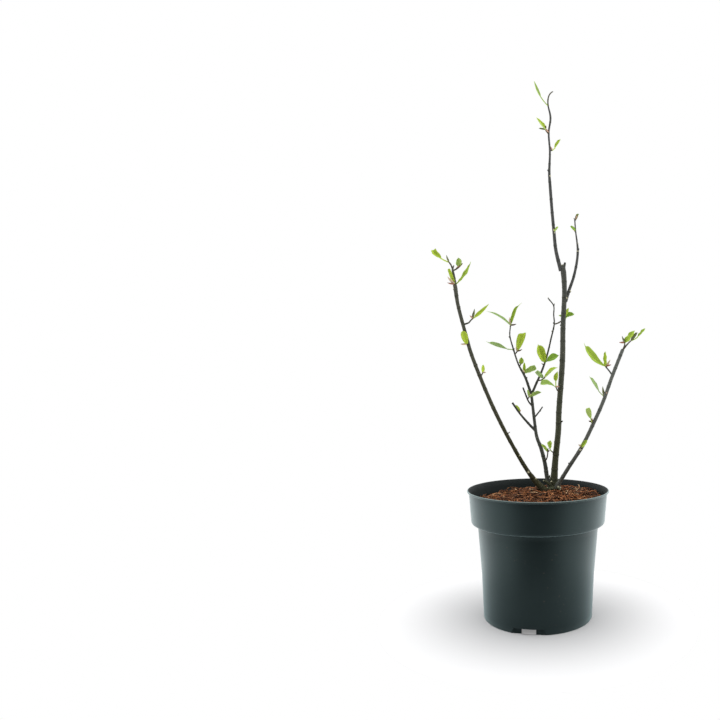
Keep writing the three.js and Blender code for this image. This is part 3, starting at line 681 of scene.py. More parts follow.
# stubs and buds: height on the limb, reach from its middle, bearing, rise and thickness. Those
# marked cut are pale at their ends
SNAGS = {
    "leader": [
        (561, 14, 20, 76, 5), (563, 8, 200, 70, 6, "cut"), (304, 8.6, 340, 30, 3), (466, 6, 195, 30, 3),
        (410, 5.6, 350, 40, 3), (408, 5.4, 185, 20, 3), (528, 6, 200, 50, 3.6),
        (512, 6, 330, 20, 4, "cut"), (276, 5.6, 250, 40, 3),
    ],
    "leader_top": [
        (726, 5, 190, 50, 2.6), (718, 3.6, 300, 20, 3, "cut"), (667, 3.4, 190, 50, 2.4),
        (622, 4, 290, 30, 3, "cut"), (771, 3, 200, 55, 2), (813, 2.4, 20, 55, 1.6),
        (595, 3.8, 320, 50, 3),
    ],
    "side_branch": [
        (600, 5.5, 340, 66, 2.8), (549, 4.6, 340, 50, 2.6), (612, 3.2, 10, 60, 2.2, "cut"),
        (599, 3.4, 260, 20, 3, "cut"), (525, 5, 330, 20, 4.4, "cut"), (662, 4, 180, 65, 1.8),
    ],
    "left_stem": [
        (206, 10, 250, 60, 3, "cut"), (251, 5, 300, 30, 3.4, "cut"), (223, 5.4, 250, 30, 4, "cut"),
        (288, 7, 20, 35, 1.6), (332, 4.6, 250, 45, 2.8), (398, 4.2, 40, 45, 2.6),
        (457, 4, 220, 45, 2.6), (486, 3.8, 20, 50, 2.6), (212, 9, 210, 50, 2.6),
        (503, 4.4, 195, 60, 4.6), (512, 4.6, 200, 40, 4.4, "cut"), (543, 6.5, 8, 72, 2.2),
    ],
    "thin_stem": [(346, 4, 200, 45, 2.4), (225, 5, 20, 45, 2.6), (275, 4.4, 240, 40, 2.6)],
    "thin_left": [
        (377, 6, 60, 70, 2.4), (396, 3, 210, 50, 2), (450, 3.8, 185, 55, 2.8), (430, 3, 30, 50, 2),
    ],
    "thin_right": [
        (508, 7, 60, 75, 1.8, "cut"), (433, 3.6, 340, 50, 2), (463, 3, 190, 40, 2.4, "cut"),
        (478, 3, 200, 30, 2.4), (403, 6, 200, 45, 1.7), (523, 2.6, 200, 70, 1.9, "cut"),
    ],
    "twig_right_low": [(323, 4, 300, 0, 2)],
    "right_stem": [
        (262, 5, 280, 20, 4, "cut"), (268, 5, 200, 45, 3.4, "cut"), (314, 4.4, 40, 45, 2.6),
        (360, 4, 300, 50, 2.4), (403, 3.8, 220, 50, 2.4), (238, 4.8, 200, 40, 2.8),
    ],
}
SNAG_TIP, CUT_SIZE, CUT_FADE = 0.36, 0.3, 2
# cut stubs and a late bud at the crown, in the same terms as the limbs
CROWN_BUD = [(27, 21, 212, 2), (21, 19, 213, 1.7), (19, 19, 216, 2.8), (20, 20, 219, 1.4)]
CROWN_SHOOTS = [
    [(22, 20, 200, 5), (15, 18, 207, 4.4), (9, 17, 210, 3.6)],
    [(27, 20, 199, 4.4), (24, 17, 206, 3.6), (22, 15, 209, 3.2)],
    CROWN_BUD,
    [(31, 18, 198, 5), (34, 12, 198, 4), (37, 9, 196, 3)],
]
CROWN_CUT = 0.6
LUMPS = 22
LUMP_HEIGHT, LUMP_REACH, LUMP_RISE, LUMP_SIZE = (189, 199), (7, 13), (-5, 25), (1.6, 3.4)
LUMP_ROOT, LUMP_NOSE = 4, 1.4
# each piece of bark: its limbs, how fine its mesh is, and its tones low and high on the plant
BARK_PIECES = {
    "leader_bark": (("leader",), 0.52, (0.044, 0.048, 0.027), (0.056, 0.059, 0.053)),
    "top_bark": (("leader_top", "side_branch"), 0.33, (0.044, 0.048, 0.027), (0.056, 0.058, 0.057)),
    "left_bark": (("left_stem", "left_twig"), 0.42, (0.036, 0.035, 0.017), (0.060, 0.062, 0.050)),
    "thin_bark": (
        ("thin_stem", "thin_left", "thin_right", "twig_left_low", "twig_right_low", "twig_left_mid"),
        0.36, (0.046, 0.049, 0.042), (0.050, 0.052, 0.044),
    ),
    "right_bark": (("right_stem", "right_twig"), 0.42, (0.080, 0.084, 0.074), (0.100, 0.108, 0.100)),
}
BARK_LOW, BARK_HIGH, BARK_BLUR = 220, 560, 120
BARK_DARKER = 0.62
BARK_GRAIN = 0.1
BARK_UNEVEN, BARK_PATCH = 0.3, 7
SCAR_PALE = (0.42, 0.40, 0.27)
LENTICEL_PALE = (0.24, 0.235, 0.17)
BARK_SEED = 11


def heading(bearing, rise):
    """A step of one along a bearing, which starts at +X, and a rise from the level."""
    level = math.cos(math.radians(rise))
    turn = math.radians(bearing)
    return np.array([level * math.cos(turn), level * math.sin(turn), math.sin(math.radians(rise))])


def smooth_point(route, share):
    """The point at a share of a route, on the smooth curve through its points."""
    points = np.array([stop[:3] for stop in route], dtype=float)
    points = np.array([2 * points[0] - points[1], *points, 2 * points[-1] - points[-2]])
    spans = len(route) - 1
    span = min(int(spans * share), spans - 1)
    part = spans * share - span
    before, start, end, after = points[span:span + 4]
    steps = (before, start), (start, end), (end, after)
    first, middle, last = (math.sqrt(np.linalg.norm(b - a)) for a, b in steps)
    leave = (start - before) / first - (end - before) / (first + middle) + (end - start) / middle
    arrive = (end - start) / middle - (after - start) / (middle + last) + (after - end) / last
    leave, arrive = leave * middle, arrive * middle
    square = -3 * start + 3 * end - 2 * leave - arrive
    cube = 2 * start - 2 * end + leave + arrive
    return start + leave * part + square * part**2 + cube * part**3


def share_at_height(route, height):
    """Halves the route again and again to find the share of it that lies this high."""
    low, high = 0.0, 1.0
    for _ in range(HALVINGS):
        middle = (low + high) / 2
        if smooth_point(route, middle)[2] < height:
            low = middle
        else:
            high = middle
    return (low + high) / 2


def limb_line(route, ring_draw, sink):
    """Close points along a limb with their radii, swollen at its rings, and where the rings are."""
    shares = [0.0]
    for span in range(len(route) - 1):
        first, last = np.array(route[span][:3]), np.array(route[span + 1][:3])
        steps = max(2, round(float(np.linalg.norm(last - first)) / STEM_PITCH))
        shares += [(span + step / steps) / (len(route) - 1) for step in range(1, steps + 1)]
    line, rings, travelled, next_ring = [], [], 0.0, ring_draw.uniform(*FIRST_RING)
    previous = smooth_point(route, 0)
    thicks = [stop[3] for stop in route]
    for share in shares:
        point = smooth_point(route, share)
        travelled += float(np.linalg.norm(point - previous))
        previous = point
        radius = float(np.interp(share * (len(route) - 1), range(len(route)), thicks)) / 2
        if travelled > next_ring and share < LAST_RING:
            radius = radius * RING_SWELL + RING_STAND
            rings.append((*point, radius))
            next_ring = travelled + ring_draw.uniform(*NEXT_RING)
        line.append((*point, radius * ring_draw.uniform(*UNEVEN_STEM) + SMOOTHED_OFF))
    if sink:
        x, y, z, radius = line[0]
        line.insert(0, (x, y, z - STEM_SINK, radius * SINK_TAPER))
    return line, rings


def tube_mesh(name, lines, voxel):
    """One mesh round all the lines (x, y, z, radius) of a piece, fused where they meet."""
    curve = bpy.data.curves.new(name, "CURVE")
    curve.dimensions = "3D"
    curve.bevel_depth = MM
    curve.bevel_resolution = 4
    curve.use_fill_caps = True
    for line in lines:
        spline = curve.splines.new("POLY")
        spline.points.add(len(line) - 1)
        for point, (x, y, z, radius) in zip(spline.points, line):
            point.co = (x * MM, y * MM, z * MM, 1)
            point.radius = radius
    piece = bpy.data.objects.new(name, curve)
    bpy.context.collection.objects.link(piece)
    select_only(piece)
    bpy.ops.object.convert(target="MESH")
    piece = bpy.context.object
    apply_modifier(piece, "REMESH", mode="VOXEL", voxel_size=voxel * MM)
    apply_modifier(piece, "SMOOTH", factor=0.5, iterations=2)
    return piece


def store(piece, name, values):
    """Stores a value for each corner of a piece under a name that its finish reads."""
    piece.data.attributes.new(name, "FLOAT", "POINT").data.foreach_set("value", values)


def attribute(place, name):
    """What a piece's corners store under a name, as a wire."""
    return place.node("Attribute", {"attribute_name": name}, {}, "Fac")


def store_nearness(piece, name, spots, fade):
    """Stores how near each corner lies to any of the spots (x, y, z, radius)."""
    places = np.empty(len(piece.data.vertices) * 3)
    piece.data.vertices.foreach_get("co", places)
    places = places.reshape(-1, 3) / MM
    nearness = np.zeros(len(places))
    for x, y, z, radius in spots:
        away = np.linalg.norm(places - (x, y, z), axis=1)
        nearness = np.maximum(nearness, np.clip(1 - (away - radius) / fade, 0, 1))
    store(piece, name, nearness)


def bark_finish(name, low_tone, high_tone):
    finish, place = new_finish(name)
    height = place.node("SeparateXYZ", {}, {"Vector": place}, "Z")
    scar, ring = attribute(place, "scar"), attribute(place, "ring")
    patches = noise(place, 130.0, detail=5.0, roughness=0.65)
    fine = noise(place, 900.0)
    lenticels = noise(place, 620.0, detail=1.0).between(0.64, 0.72)
    blur = BARK_BLUR * MM
    up = (height + patches * blur - blur / 2).between(BARK_LOW * MM, BARK_HIGH * MM)
    plain = blend(up, low_tone, high_tone)
    dark = shade(mixed(low_tone, high_tone, 0.5), BARK_DARKER)
    blotched = blend((patches.between(0.5, 0.75) * 0.7 + ring * 0.35).between(0, 1), plain, dark)
    speckled = blend(lenticels * 0.5, blotched, LENTICEL_PALE)
    scarred = blend(scar.between(0.25, 0.9) * (0.35 + patches * 0.75), speckled, SCAR_PALE)
    surface(place, {
        "Base Color": scarred,
        "Roughness": 0.62 + patches * 0.2,
        "Specular IOR Level": 0.06,
        "Normal": relief(fine * 0.4 + lenticels * 0.4, BARK_GRAIN),
    })
    return finish


bark_texture = bpy.data.textures.new("bark", "CLOUDS")
bark_texture.noise_scale = BARK_PATCH * MM
bark_texture.noise_depth = 2
ring_draw = random.Random(BARK_SEED)
for piece_name, (limb_names, fineness, low_tone, high_tone) in BARK_PIECES.items():
    lines, rings, scars = [], [], []
    for limb_name in limb_names:
        route = LIMBS[limb_name]
        line, limb_rings = limb_line(route, ring_draw, sink=limb_name == "leader")
        lines.append(line)
        rings += limb_rings
        for height, reach, bearing, rise, thick, *cut in SNAGS.get(limb_name, ()):
            foot = smooth_point(route, share_at_height(route, height))
            tip = foot + heading(bearing, rise) * reach
            middle = (foot + tip) / 2
            lines.append([(*foot, thick / 2), (*middle, thick / 2), (*tip, thick * SNAG_TIP)])
            if cut:
                scars.append((*tip, thick * CUT_SIZE))
    if "leader" in limb_names:
        for shoot in CROWN_SHOOTS:
            lines.append([(x, y, z, thick / 2) for x, y, z, thick in shoot])
            if shoot is not CROWN_BUD:
                scars.append((*shoot[-1][:3], CROWN_CUT))
        crown_x, crown_y = LIMBS["leader"][0][:2]
        for _ in range(LUMPS):
            out = heading(ring_draw.uniform(0, 360), ring_draw.uniform(*LUMP_RISE))
            lump = np.array([crown_x, crown_y, ring_draw.uniform(*LUMP_HEIGHT)])
            lump = lump + out * ring_draw.uniform(*LUMP_REACH)
            size = ring_draw.uniform(*LUMP_SIZE)
            root, nose = lump - out * LUMP_ROOT, lump + out * LUMP_NOSE
            lines.append([(*root, size), (*lump, size), (*nose, size / 2)])
            if ring_draw.random() < 0.5:
                scars.append((*(lump + out), size / 2))
    stem = tube_mesh(piece_name, lines, fineness)
    apply_modifier(
        stem, "DISPLACE", texture=bark_texture, texture_coords="LOCAL",
        strength=BARK_UNEVEN * MM, mid_level=0.5,
    )
    stem.data.shade_smooth()
    store_nearness(stem, "scar", scars, CUT_FADE)
    store_nearness(stem, "ring", rings, RING_FADE)
    stem.data.materials.append(bark_finish(piece_name + "_skin", low_tone, high_tone))
    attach(stem, "root")
    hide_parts(*limb_names)

# Spurs. Each spray of young leaves stands on a short woody spur, bent upward and swollen at its
# end where the bud opened. They are live wood, and start inside the stem that bears them.

# A leaf's form is in shares: its stalk, where it is fullest, how slim and pointed it is, where its
# outline ends if it is blunt, how far one edge slides ahead of the other, its drip tip, how its
# edges roll up and wave, and how it bows from its face, and arches and hooks skyward. A bow of
# None is drawn at random. turn brings its face from the sky round to the front.
LEAF_FORM = {
    "stalk": 0.01, "full": 0.55, "slim": 1.2, "blunt": 0, "skew": 0, "drip": 0.06, "roll": 0.15,
    "wave": 0.03, "bow": None, "arch": 0, "hook": 0, "from_foot": False,
}
Leaf = namedtuple(
    "Leaf", ["long", "wide", "bearing", "rise", "turn", "tone", *LEAF_FORM], defaults=LEAF_FORM.values()
)
# where a spray grows, its spur as length, bearing and rise, its leaves, its bud scales as length,
# bearing, rise and colour, and the bend of its spur
Spray = namedtuple("Spray", ["limb", "height", "spur", "leaves", "scales", "bend"], defaults=((), 0.12))
SPRAYS = {
    "leader_tip": Spray("leader_top", 837, (31, 47, 68), [
        Leaf(45, 5, 205, 55, -30, "fresh", stalk=0.44, full=0.4, slim=1, roll=0.4, arch=-0.07,
             from_foot=True),
    ], bend=-0.16),
    "leader_upper": Spray("leader_top", 791, (8, 200, 45), [
        Leaf(25, 12, 210, 43, 55, "yellow", full=0.36, slim=1),
        Leaf(13, 4, 165, 16, 10, "brown", slim=1.6, roll=0.8),
    ], [(8, 330, -44, "pink"), (6, 330, 80, "brown")]),
    "leader_side": Spray("leader_top", 763, (4, 26, 4), [
        Leaf(29, 8, 30, 54, 22, "yellow", stalk=0.3),
    ], [(6, 200, 70, "pink")]),
    "leader_knot": Spray("leader_top", 626, (3, 283, 0), [
        Leaf(11, 9, 322, 38, 40, "fresh", slim=1.1),
    ], [(4, 200, 60, "pale")]),
    "leader_middle": Spray("leader", 356, (16, 236, 33), [
        Leaf(30, 13, 208, 9, 45, "blue", stalk=0.08, full=0.7, slim=1.4, blunt=0.94, arch=0.12),
        Leaf(27, 8, 309, 81, 122, "yellow", stalk=0.38, full=0.42, slim=1.3, arch=0.12),
    ], [(6, 330, 10, "pink")]),
    "leader_low": Spray("leader", 255, (9.5, 219, 18), [
        Leaf(21, 14, 234, 48, 75, "fresh", stalk=0.28, full=0.6, slim=1, blunt=0.92),
    ]),
    "side_tip": Spray("side_branch", 660, (2, 41, 0), [
        Leaf(16, 6, 40, 66, 40, "deep", slim=0.9, roll=0.8, hook=-0.15),
    ], [(10, 20, 74, "pink")]),
    "side_upper": Spray("side_branch", 636, (3, 219, 45), [
        Leaf(13, 9, 215, 32, 35, "deep", slim=1.1, roll=0.4),
    ], [(8, 215, 36, "pink")]),
    "behind": Spray("thin_right", 477, (22, 8, 35), [
        Leaf(23, 12, 27, 19, 45, "deep", slim=1.3),
        Leaf(21, 6, 36, 60, 40, "yellow"),
        Leaf(11, 6, 174, 20, -40, "fresh", slim=1.6),
        Leaf(16, 10, 67, 6, -70, "deep", slim=1.6),
    ]),
    "left_tip": Spray("left_stem", 542, (13, 215, 60), [
        Leaf(35, 8.5, 156, 31, 50, "yellow", stalk=0.5, slim=0.9, blunt=0.82, skew=-0.3, roll=0,
             hook=0.1),
    ], [(10, 200, 70, "olive")], bend=-0.08),
    "left_spur": Spray("left_stem", 541, (14, 32, 34), [
        Leaf(15, 11, 150, 75, 90, "blue", full=0.45, roll=0),
    ], [(7, 205, -32, "red"), (6, 20, 48, "brown")], bend=0.06),
    "left_fork": Spray("left_stem", 515, (8, 262, 45), [
        Leaf(25, 5.6, 206, 68, 112, "yellow", full=0.5, slim=0.5, blunt=0.94, roll=0.3),
    ], [(14, 186, 47, "pale"), (10, 190, 10, "red")]),
    "left_high": Spray("left_stem", 518, (4, 307, 61), [
        Leaf(42, 6.4, 342, 53, 80, "fresh", stalk=0.1, full=0.58, drip=0.14, wave=0.15, bow=0,
             arch=-0.09),
    ]),
    "left_twig": Spray("left_twig", 469, (2, 335, 35), [
        Leaf(35, 7, 340, 38, 80, "yellow", stalk=0.12, full=0.38, slim=1.1, roll=0.3, bow=0,
             arch=-0.05),
    ], [(14, 10, 80, "olive"), (6, 190, 45, "pink")]),
    "left_front": Spray("left_stem", 427, (8, 248, 29), [
        Leaf(23, 11, 230, 65, 122, "yellow", full=0.64, slim=1.1, drip=0.02, roll=0.1),
    ], [(9, 190, 2, "pale")]),
    "left_inner": Spray("left_stem", 382, (9, 57, 36), [
        Leaf(17, 6, 90, 57, 30, "yellow", full=0.5),
    ], [(5, 350, 5, "pale")]),
    "thin_left_tip": Spray("thin_left", 470, (2, 90, 84), [
        Leaf(52, 7.4, 164, 31, -20, "blue", full=0.42, slim=1.1, drip=0.1, roll=0.4, arch=0.12),
        Leaf(44, 8.4, 330, 70, 80, "fresh", full=0.45, slim=0.5, drip=0.18, roll=0.3, hook=-0.2),
    ], [(13, 190, 84, "pale"), (10, 0, 12, "brown")]),
    "thin_left_high": Spray("thin_left", 429, (3, 214, 35), [
        Leaf(49, 11.5, 192, 16, -30, "blue", stalk=0.2, full=0.58, slim=1.7, drip=0.14, roll=0.2,
             bow=0.08),
    ]),
    "thin_left_inner": Spray("thin_left", 423, (6, 22, 45), [
        Leaf(36, 14, 50, 67, 44, "yellow", full=0.62, slim=1.3, blunt=0.86, skew=0.5, roll=0.05),
    ], [(8, 160, 76, "pale"), (9, 350, 20, "brown")]),
    "thin_left_low": Spray("thin_left", 402, (5, 40, 40), [
        Leaf(14, 9, 75, 68, 30, "fresh", full=0.42, slim=1.3),
    ], [(5, 150, 40, "brown")]),
    "thin_left_fork": Spray("thin_left", 387, (5, 64, 36), [
        Leaf(21, 7, 98, 69, 35, "yellow", full=0.4, slim=0.9, roll=0.5),
        Leaf(24, 14, 24, 18, -55, "fresh", full=0.64, slim=0.8, blunt=0.92),
    ], [(6, 150, 50, "pale")]),
    "thin_right_low": Spray("thin_right", 377, (12, 332, 14), [
        Leaf(21, 8, 217, 36, -50, "blue", stalk=0.12, full=0.5, slim=0.5, blunt=0.95, roll=0.1),
        Leaf(33, 11, 340, 41, 32, "yellow", full=0.58, slim=1.5, arch=0.02, hook=-0.07),
    ], [(5, 300, 10, "brown")]),
    "thin_right_high": Spray("thin_right", 404, (6, 292, 52), [
        Leaf(35.5, 16, 213, 66, 98, "yellow", full=0.6, slim=1.1, drip=0.08, roll=0, arch=-0.05),
        Leaf(29, 13, 350, 31, -60, "deep", stalk=0.16, full=0.6, drip=0.1, hook=-0.1),
    ], [(7, 170, 25, "brown")]),
    "twig_mid": Spray("twig_left_mid", 345, (4, 347, 33), [
        Leaf(15, 6.5, 135, 71, -45, "fresh", full=0.5, slim=1, roll=0.8),
        Leaf(27, 11, 331, 23, -25, "fresh", full=0.64, slim=1.4, hook=-0.05),
    ], [(6, 330, 60, "pale")]),
    "twig_low": Spray("twig_left_low", 320, (3, 105, 28), [
        Leaf(16, 8, 162, 57, 30, "yellow", full=0.5, slim=1.1),
    ], [(6, 60, 35, "red")]),
    "thin_foot": Spray("thin_stem", 240, (22, 292, 46), [
        Leaf(19, 10, 200, 49, 40, "fresh", full=0.5, slim=1.1),
        Leaf(8, 3, 285, 75, 30, "brown", slim=1.6),
    ], [(5, 320, 40, "brown")], bend=0.2),
    "right_tip": Spray("right_stem", 421, (12, 312, 68), [
        Leaf(25, 10, 331, 48, 70, "fresh", full=0.5, slim=0.9, wave=0.12),
    ], [(10, 190, 68, "olive"), (8, 190, 2, "red")]),
    "right_end": Spray("right_stem", 419, (23, 323, 45), [
        Leaf(16, 7, 328, 49, 20, "brown", slim=0.8, roll=1.2),
        Leaf(31, 6, 17, 39, 25, "fresh", stalk=0.4, full=0.6, slim=0.8, roll=0.5, wave=0.1, arch=-0.05),
    ], bend=-0.04),
    "right_twig": Spray("right_twig", 395, (2, 200, 60), [
        Leaf(52, 14, 199, 44, 68, "fresh", full=0.68, slim=1.5, drip=0.12, roll=0, bow=0.03,
             arch=-0.09),
        Leaf(25, 7, 95, 78, 40, "yellow", full=0.5, slim=0.8, roll=0.5, wave=0.12),
    ], [(8, 0, 18, "red"), (12, 20, 55, "pale")]),
    "right_middle": Spray("right_stem", 348, (3, 144, 62), [
        Leaf(40, 12, 157, 53, -25, "blue", stalk=0.28, slim=1.5, drip=0.08),
    ], [(14, 120, 80, "olive"), (10, 300, 35, "pink")]),
    "right_lower": Spray("right_stem", 307, (5, 220, 25), [
        Leaf(25, 9, 228, 67, -50, "yellow", stalk=0.28, full=0.62, blunt=0.95),
    ], [(6, 60, 75, "pink"), (5, 200, 20, "brown")]),
    "right_low": Spray("right_stem", 265, (6, 275, 31), [
        Leaf(18, 7, 318, 45, 85, "fresh", full=0.5, slim=0.9),
    ], [(6, 200, 40, "pale")]),
}
SPUR_THICK, SPUR_TIP = 2.7, 1.9
SPUR_PITCH = 2
SPUR_FINENESS = 0.33
SPUR_SWELLS = (1, 1, 1.18)
SPUR_END, SPUR_RING, SPUR_RING_FADE = 0.8, 0.8, 1.5
SPUR_TONES = ((0.046, 0.040, 0.026), (0.070, 0.064, 0.042))

spur_lines, spur_rings, spray_ends = [], [], {}
for spray_name, spray in SPRAYS.items():
    route = LIMBS[spray.limb]
    foot = smooth_point(route, share_at_height(route, spray.height))
    long, bearing, rise = spray.spur
    along = heading(bearing, rise)
    end = foot + along * long
    spray_ends[spray_name] = (foot, end)
    sag = heading(bearing, rise - 90) * long * spray.bend
    steps = max(3, round(long / SPUR_PITCH))
    line = []
    for step in range(steps + 1):
        share = step / steps
        centre = foot + along * long * share + sag * 4 * share * (1 - share)
        radius = (SPUR_THICK + (SPUR_TIP - SPUR_THICK) * share) / 2
        line.append((*centre, radius * ring_draw.choice(SPUR_SWELLS)))
    line.append((*(end + along * SPUR_END), SPUR_TIP / 3))
    spur_lines.append(line)
    spur_rings.append((*end, SPUR_RING))
spurs = tube_mesh("spurs", spur_lines, SPUR_FINENESS)
spurs.data.shade_smooth()
store_nearness(spurs, "scar", [], CUT_FADE)
store_nearness(spurs, "ring", spur_rings, SPUR_RING_FADE)
spurs.data.materials.append(bark_finish("spur_skin", *SPUR_TONES))
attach(spurs, "root")

# Leaves and bud scales. Young magnolia leaves, soft and thin, with a sunken midrib and side veins,
# each folded and bowed, on its own stalk at the end of a spur. The papery bracts that held the
# buds are cupped, and stay at the feet of the leaves for a while.

BLADE_ROWS, STALK_ROWS, BLADE_COLUMNS = 26, 5, 12
EDGE_CROWDING = 1.25
STALK_HALF, STALK_THICK = 0.8, 1.1
BLADE_THICK = 0.3
BLUNT_END = 0.6
# where the outline is narrower than this share, it is stalk and neither folds nor rolls
STALK_SHARE = 0.02
FOLD_ROUND = 0.6
ROLL_IN, ROLL_UP = 0.3, 0.7
VEINS, VEIN_SLANT = 8, 1.4
QUILT = 0.02
RIPPLES, RIPPLE_SHIFT, RIPPLE_START = 2.4, 1.1, (0, 6)
HOOK_FROM = 0.6
MIDRIB_THICK, MIDRIB_HALF = 0.5, 0.09
# the least fold and bow of a leaf, and how much is drawn on top
FOLD, FOLD_MORE = 22, 20
BOW, BOW_MORE = 0.03, 0.06
LEAF_SEAT = 0.6
# a bud scale is as wide as this share of its length, and no narrower than this
SCALE_WIDE, SCALE_LEAST = 0.38, 4
SCALE_STRETCH, SCALE_TURN, SCALE_FOLD, SCALE_BOW = 1.1, 60, 0.5, -0.12
SCALE_FULL, SCALE_ROLL = 0.4, 1.1
LEAF_GRAIN = 0.03
VEIN_PALE, VEIN_SHARE = (0.50, 0.56, 0.22), 0.45
LEAF_SEED = 7
LEAF_TONES = {
    "yellow": ((0.368, 0.490, 0.045), (0.308, 0.425, 0.104)),
    "fresh": ((0.288, 0.412, 0.046), (0.272, 0.395, 0.094)),
    "blue": ((0.262, 0.385, 0.082), (0.262, 0.388, 0.132)),
    "deep": ((0.165, 0.290, 0.020), (0.185, 0.330, 0.036)),
    "brown": ((0.090, 0.105, 0.035), (0.090, 0.110, 0.040)),
    "bract_pink": ((0.400, 0.200, 0.150), (0.460, 0.280, 0.200)),
    "bract_red": ((0.230, 0.075, 0.050), (0.290, 0.130, 0.085)),
    "bract_brown": ((0.070, 0.034, 0.019), (0.090, 0.045, 0.026)),
    "bract_pale": ((0.520, 0.380, 0.260), (0.500, 0.390, 0.270)),
    "bract_olive": ((0.130, 0.150, 0.060), (0.160, 0.175, 0.085)),
}
TONE_NAMES = list(LEAF_TONES)


def seeded_shares(number):
    """An endless row of shares that look random, and are the same for a spray each time."""
    multiplier, step, span = 1664525, 1013904223, 2**32
    state = number * 7919 + 17
    while True:
        state = (state * multiplier + step) % span
        yield state / span


def blade_shape(share, full, slim):
    """Half-width along a blade, 1 where it is fullest, and more pointed the slimmer it is."""
    shape = share**full * (1 - share) ** (1 - full)
    return (shape / (full**full * (1 - full) ** (1 - full))) ** slim


def add_sheet(body, surfaces, across, along, tint):
    """Adds a closed sheet to a body: two surfaces of corners in rows, and the rim between them."""
    rows, columns = surfaces[0].shape[:2]
    first = len(body["corners"])
    under = first + rows * columns
    for corners in surfaces:
        body["corners"] += corners.reshape(-1, 3).tolist()
        body["across"] += np.broadcast_to(across, (rows, columns)).ravel().tolist()
        body["along"] += np.broadcast_to(along, (rows, columns)).ravel().tolist()
    grid = np.arange(rows * columns).reshape(rows, columns)
    quads = np.stack([grid[:-1, :-1], grid[1:, :-1], grid[1:, 1:], grid[:-1, 1:]], axis=-1)
    for quad in quads.reshape(-1, 4).tolist():
        body["faces"].append([first + corner for corner in quad])
        body["faces"].append([under + corner for corner in reversed(quad)])
        body["tints"] += [tint, tint + 1]
    rim = [*grid[:, 0].tolist(), *grid[-1, 1:].tolist()]
    rim += [*grid[-2::-1, -1].tolist(), *grid[0, -2:0:-1].tolist()]
    for here, after in zip(rim, rim[1:] + rim[:1]):
        body["faces"].append((first + after, first + here, under + here, under + after))
        body["tints"].append(tint)


def add_leaf(body, base, leaf, fold, bow, phase):
    """Adds a leaf to a body. Its rows run from base to tip, and its columns from edge to edge."""
    along = heading(leaf.bearing, leaf.rise)
    skyward = heading(leaf.bearing, leaf.rise + 90)
    forward = np.cross(along, skyward)
    if forward[1] > 0:
        forward = -forward
    turn = math.radians(leaf.turn)
    face = skyward * math.cos(turn) + forward * math.sin(turn)
    side = np.cross(along, face)

    blade = np.concatenate([np.zeros(STALK_ROWS), np.linspace(0, 1, BLADE_ROWS + 1)])
    share = leaf.stalk + (1 - leaf.stalk) * blade
    share[:STALK_ROWS] = np.linspace(0, leaf.stalk, STALK_ROWS + 1)[:-1]
    if leaf.blunt:
        outline = blade_shape(blade * leaf.blunt, leaf.full, leaf.slim)
        outline[-1] *= BLUNT_END
    else:
        outline = blade_shape(np.minimum(blade / (1 - leaf.drip), 1), leaf.full, leaf.slim)
    stalk_half = STALK_HALF * np.minimum(1, (1 - blade) / leaf.drip + 0.1)
    half = np.maximum(leaf.wide / 2 * outline, stalk_half)[:, None]
    outline, blade, share = outline[:, None], blade[:, None], share[:, None]

    across = np.linspace(-1, 1, BLADE_COLUMNS + 1)
    across = (np.sign(across) * np.abs(across) ** EDGE_CROWDING)[None, :]
    from_midrib = np.abs(across)
    out = half * across * (1 - ROLL_IN * leaf.roll * across**2)
    is_blade = outline > STALK_SHARE
    lift = fold * (np.sqrt(out**2 + FOLD_ROUND**2) - FOLD_ROUND) * is_blade
    lift = lift + half * leaf.roll * ROLL_UP * across**2 * is_blade
    quilt = np.sin(2 * math.pi * (blade * VEINS - from_midrib * VEIN_SLANT))
    lift = lift + QUILT * quilt * 4 * from_midrib * (1 - from_midrib) * outline
    ripple = np.sin(2 * math.pi * blade * RIPPLES + phase + np.sign(across) * RIPPLE_SHIFT)
    lift = lift + leaf.wave * leaf.wide * ripple * across**2 * outline
    arch = 4 * share * (1 - share)
    hook = np.maximum(blade - HOOK_FROM, 0) ** 2 / (1 - HOOK_FROM) ** 2
    lift = lift + bow * arch
    raised = leaf.long * (leaf.arch * arch + leaf.hook * hook)
    midrib = MIDRIB_THICK * (1 - blade) * np.exp(-((across / MIDRIB_HALF) ** 2))
    thick = np.where(blade > 0, BLADE_THICK + midrib, STALK_THICK)
    length = share * leaf.long + leaf.skew * out * blade**2
    surfaces = [
        base + length[..., None] * along + raised[..., None] * skyward
        + (lift + level)[..., None] * face + out[..., None] * side
        for level in (BLADE_THICK / 2, BLADE_THICK / 2 - thick)
    ]
    add_sheet(body, surfaces, from_midrib, blade, 2 * TONE_NAMES.index(leaf.tone))


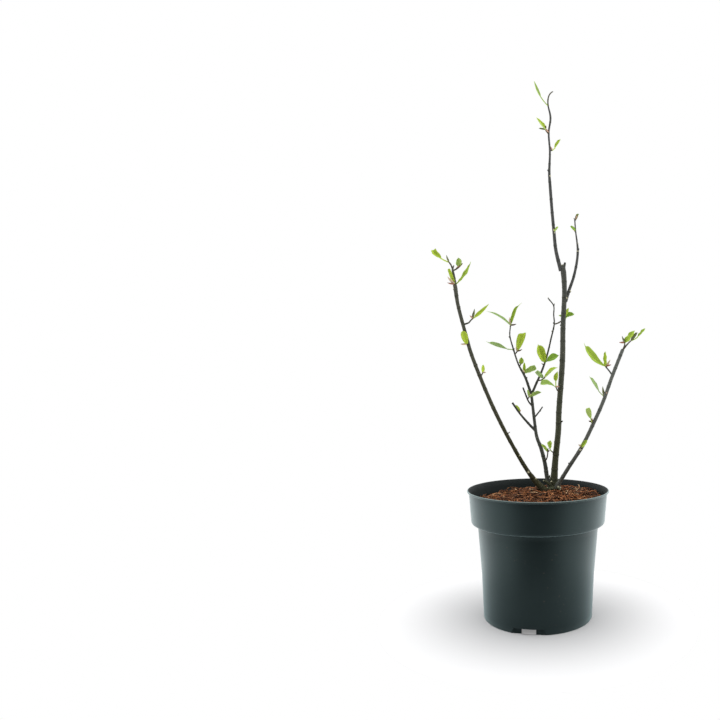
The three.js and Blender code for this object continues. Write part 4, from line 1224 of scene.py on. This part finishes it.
def leaf_finish(name, colour, is_upper):
    finish, place = new_finish(name)
    across, along = attribute(place, "across"), attribute(place, "along")
    patches = noise(place, 170.0)
    vein_place = along * VEINS - across * VEIN_SLANT + 0.25
    side_veins = place.maths("SINE", vein_place * (2 * math.pi)).between(0.86, 1.0)
    midrib = 1 - across.between(0.02, 0.1)
    veins = place.maths("MAXIMUM", side_veins * (1 - across.between(0.75, 0.95)) * 0.6, midrib)
    paler = mixed(colour, VEIN_PALE, VEIN_SHARE)
    plain = blend(patches.between(0.3, 0.7), shade(colour, 0.9), colour)
    surface(place, {
        "Base Color": blend(veins * (0.12 if is_upper else 0.2), plain, paler),
        "Roughness": (0.5 if is_upper else 0.62) + patches * 0.16,
        "Specular IOR Level": 0.12,
        "Normal": relief(veins * (-1 if is_upper else 1), LEAF_GRAIN),
    })
    return finish


leaf_finishes = []
for tone_name, (upper, under) in LEAF_TONES.items():
    leaf_finishes.append(leaf_finish(tone_name + "_upper", upper, True))
    leaf_finishes.append(leaf_finish(tone_name + "_under", under, False))


def empty_body():
    return {"corners": [], "faces": [], "tints": [], "across": [], "along": []}


def foliage_piece(name, body):
    piece = joined_mesh(name, body["corners"], body["faces"], body["tints"], leaf_finishes)
    store(piece, "across", body["across"])
    store(piece, "along", body["along"])
    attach(piece, "root")
    return piece


leaves, scales = empty_body(), empty_body()
leaf_draw = random.Random(LEAF_SEED)
for number, (spray_name, spray) in enumerate(SPRAYS.items()):
    shares = seeded_shares(number + 1)
    foot, end = spray_ends[spray_name]
    for leaf in spray.leaves:
        fold = math.tan(math.radians(FOLD + FOLD_MORE * next(shares)))
        drawn_bow = BOW + BOW_MORE * next(shares)
        bow = drawn_bow if leaf.bow is None else leaf.bow
        base = foot if leaf.from_foot else end - LEAF_SEAT * heading(leaf.bearing, leaf.rise)
        add_leaf(leaves, base, leaf, fold, -leaf.long * bow, leaf_draw.uniform(*RIPPLE_START))
    for long, bearing, rise, colour in spray.scales:
        scale = Leaf(
            long * SCALE_STRETCH, max(SCALE_LEAST, long * SCALE_WIDE), bearing, rise,
            leaf_draw.uniform(-SCALE_TURN, SCALE_TURN), "bract_" + colour,
            full=SCALE_FULL, roll=SCALE_ROLL,
        )
        add_leaf(scales, end, scale, SCALE_FOLD, SCALE_BOW * long, leaf_draw.uniform(*RIPPLE_START))
leaf_piece = foliage_piece("leaves", leaves)
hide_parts(*("spray_" + name for name in SPRAYS))
foliage_piece("bud_scales", scales)
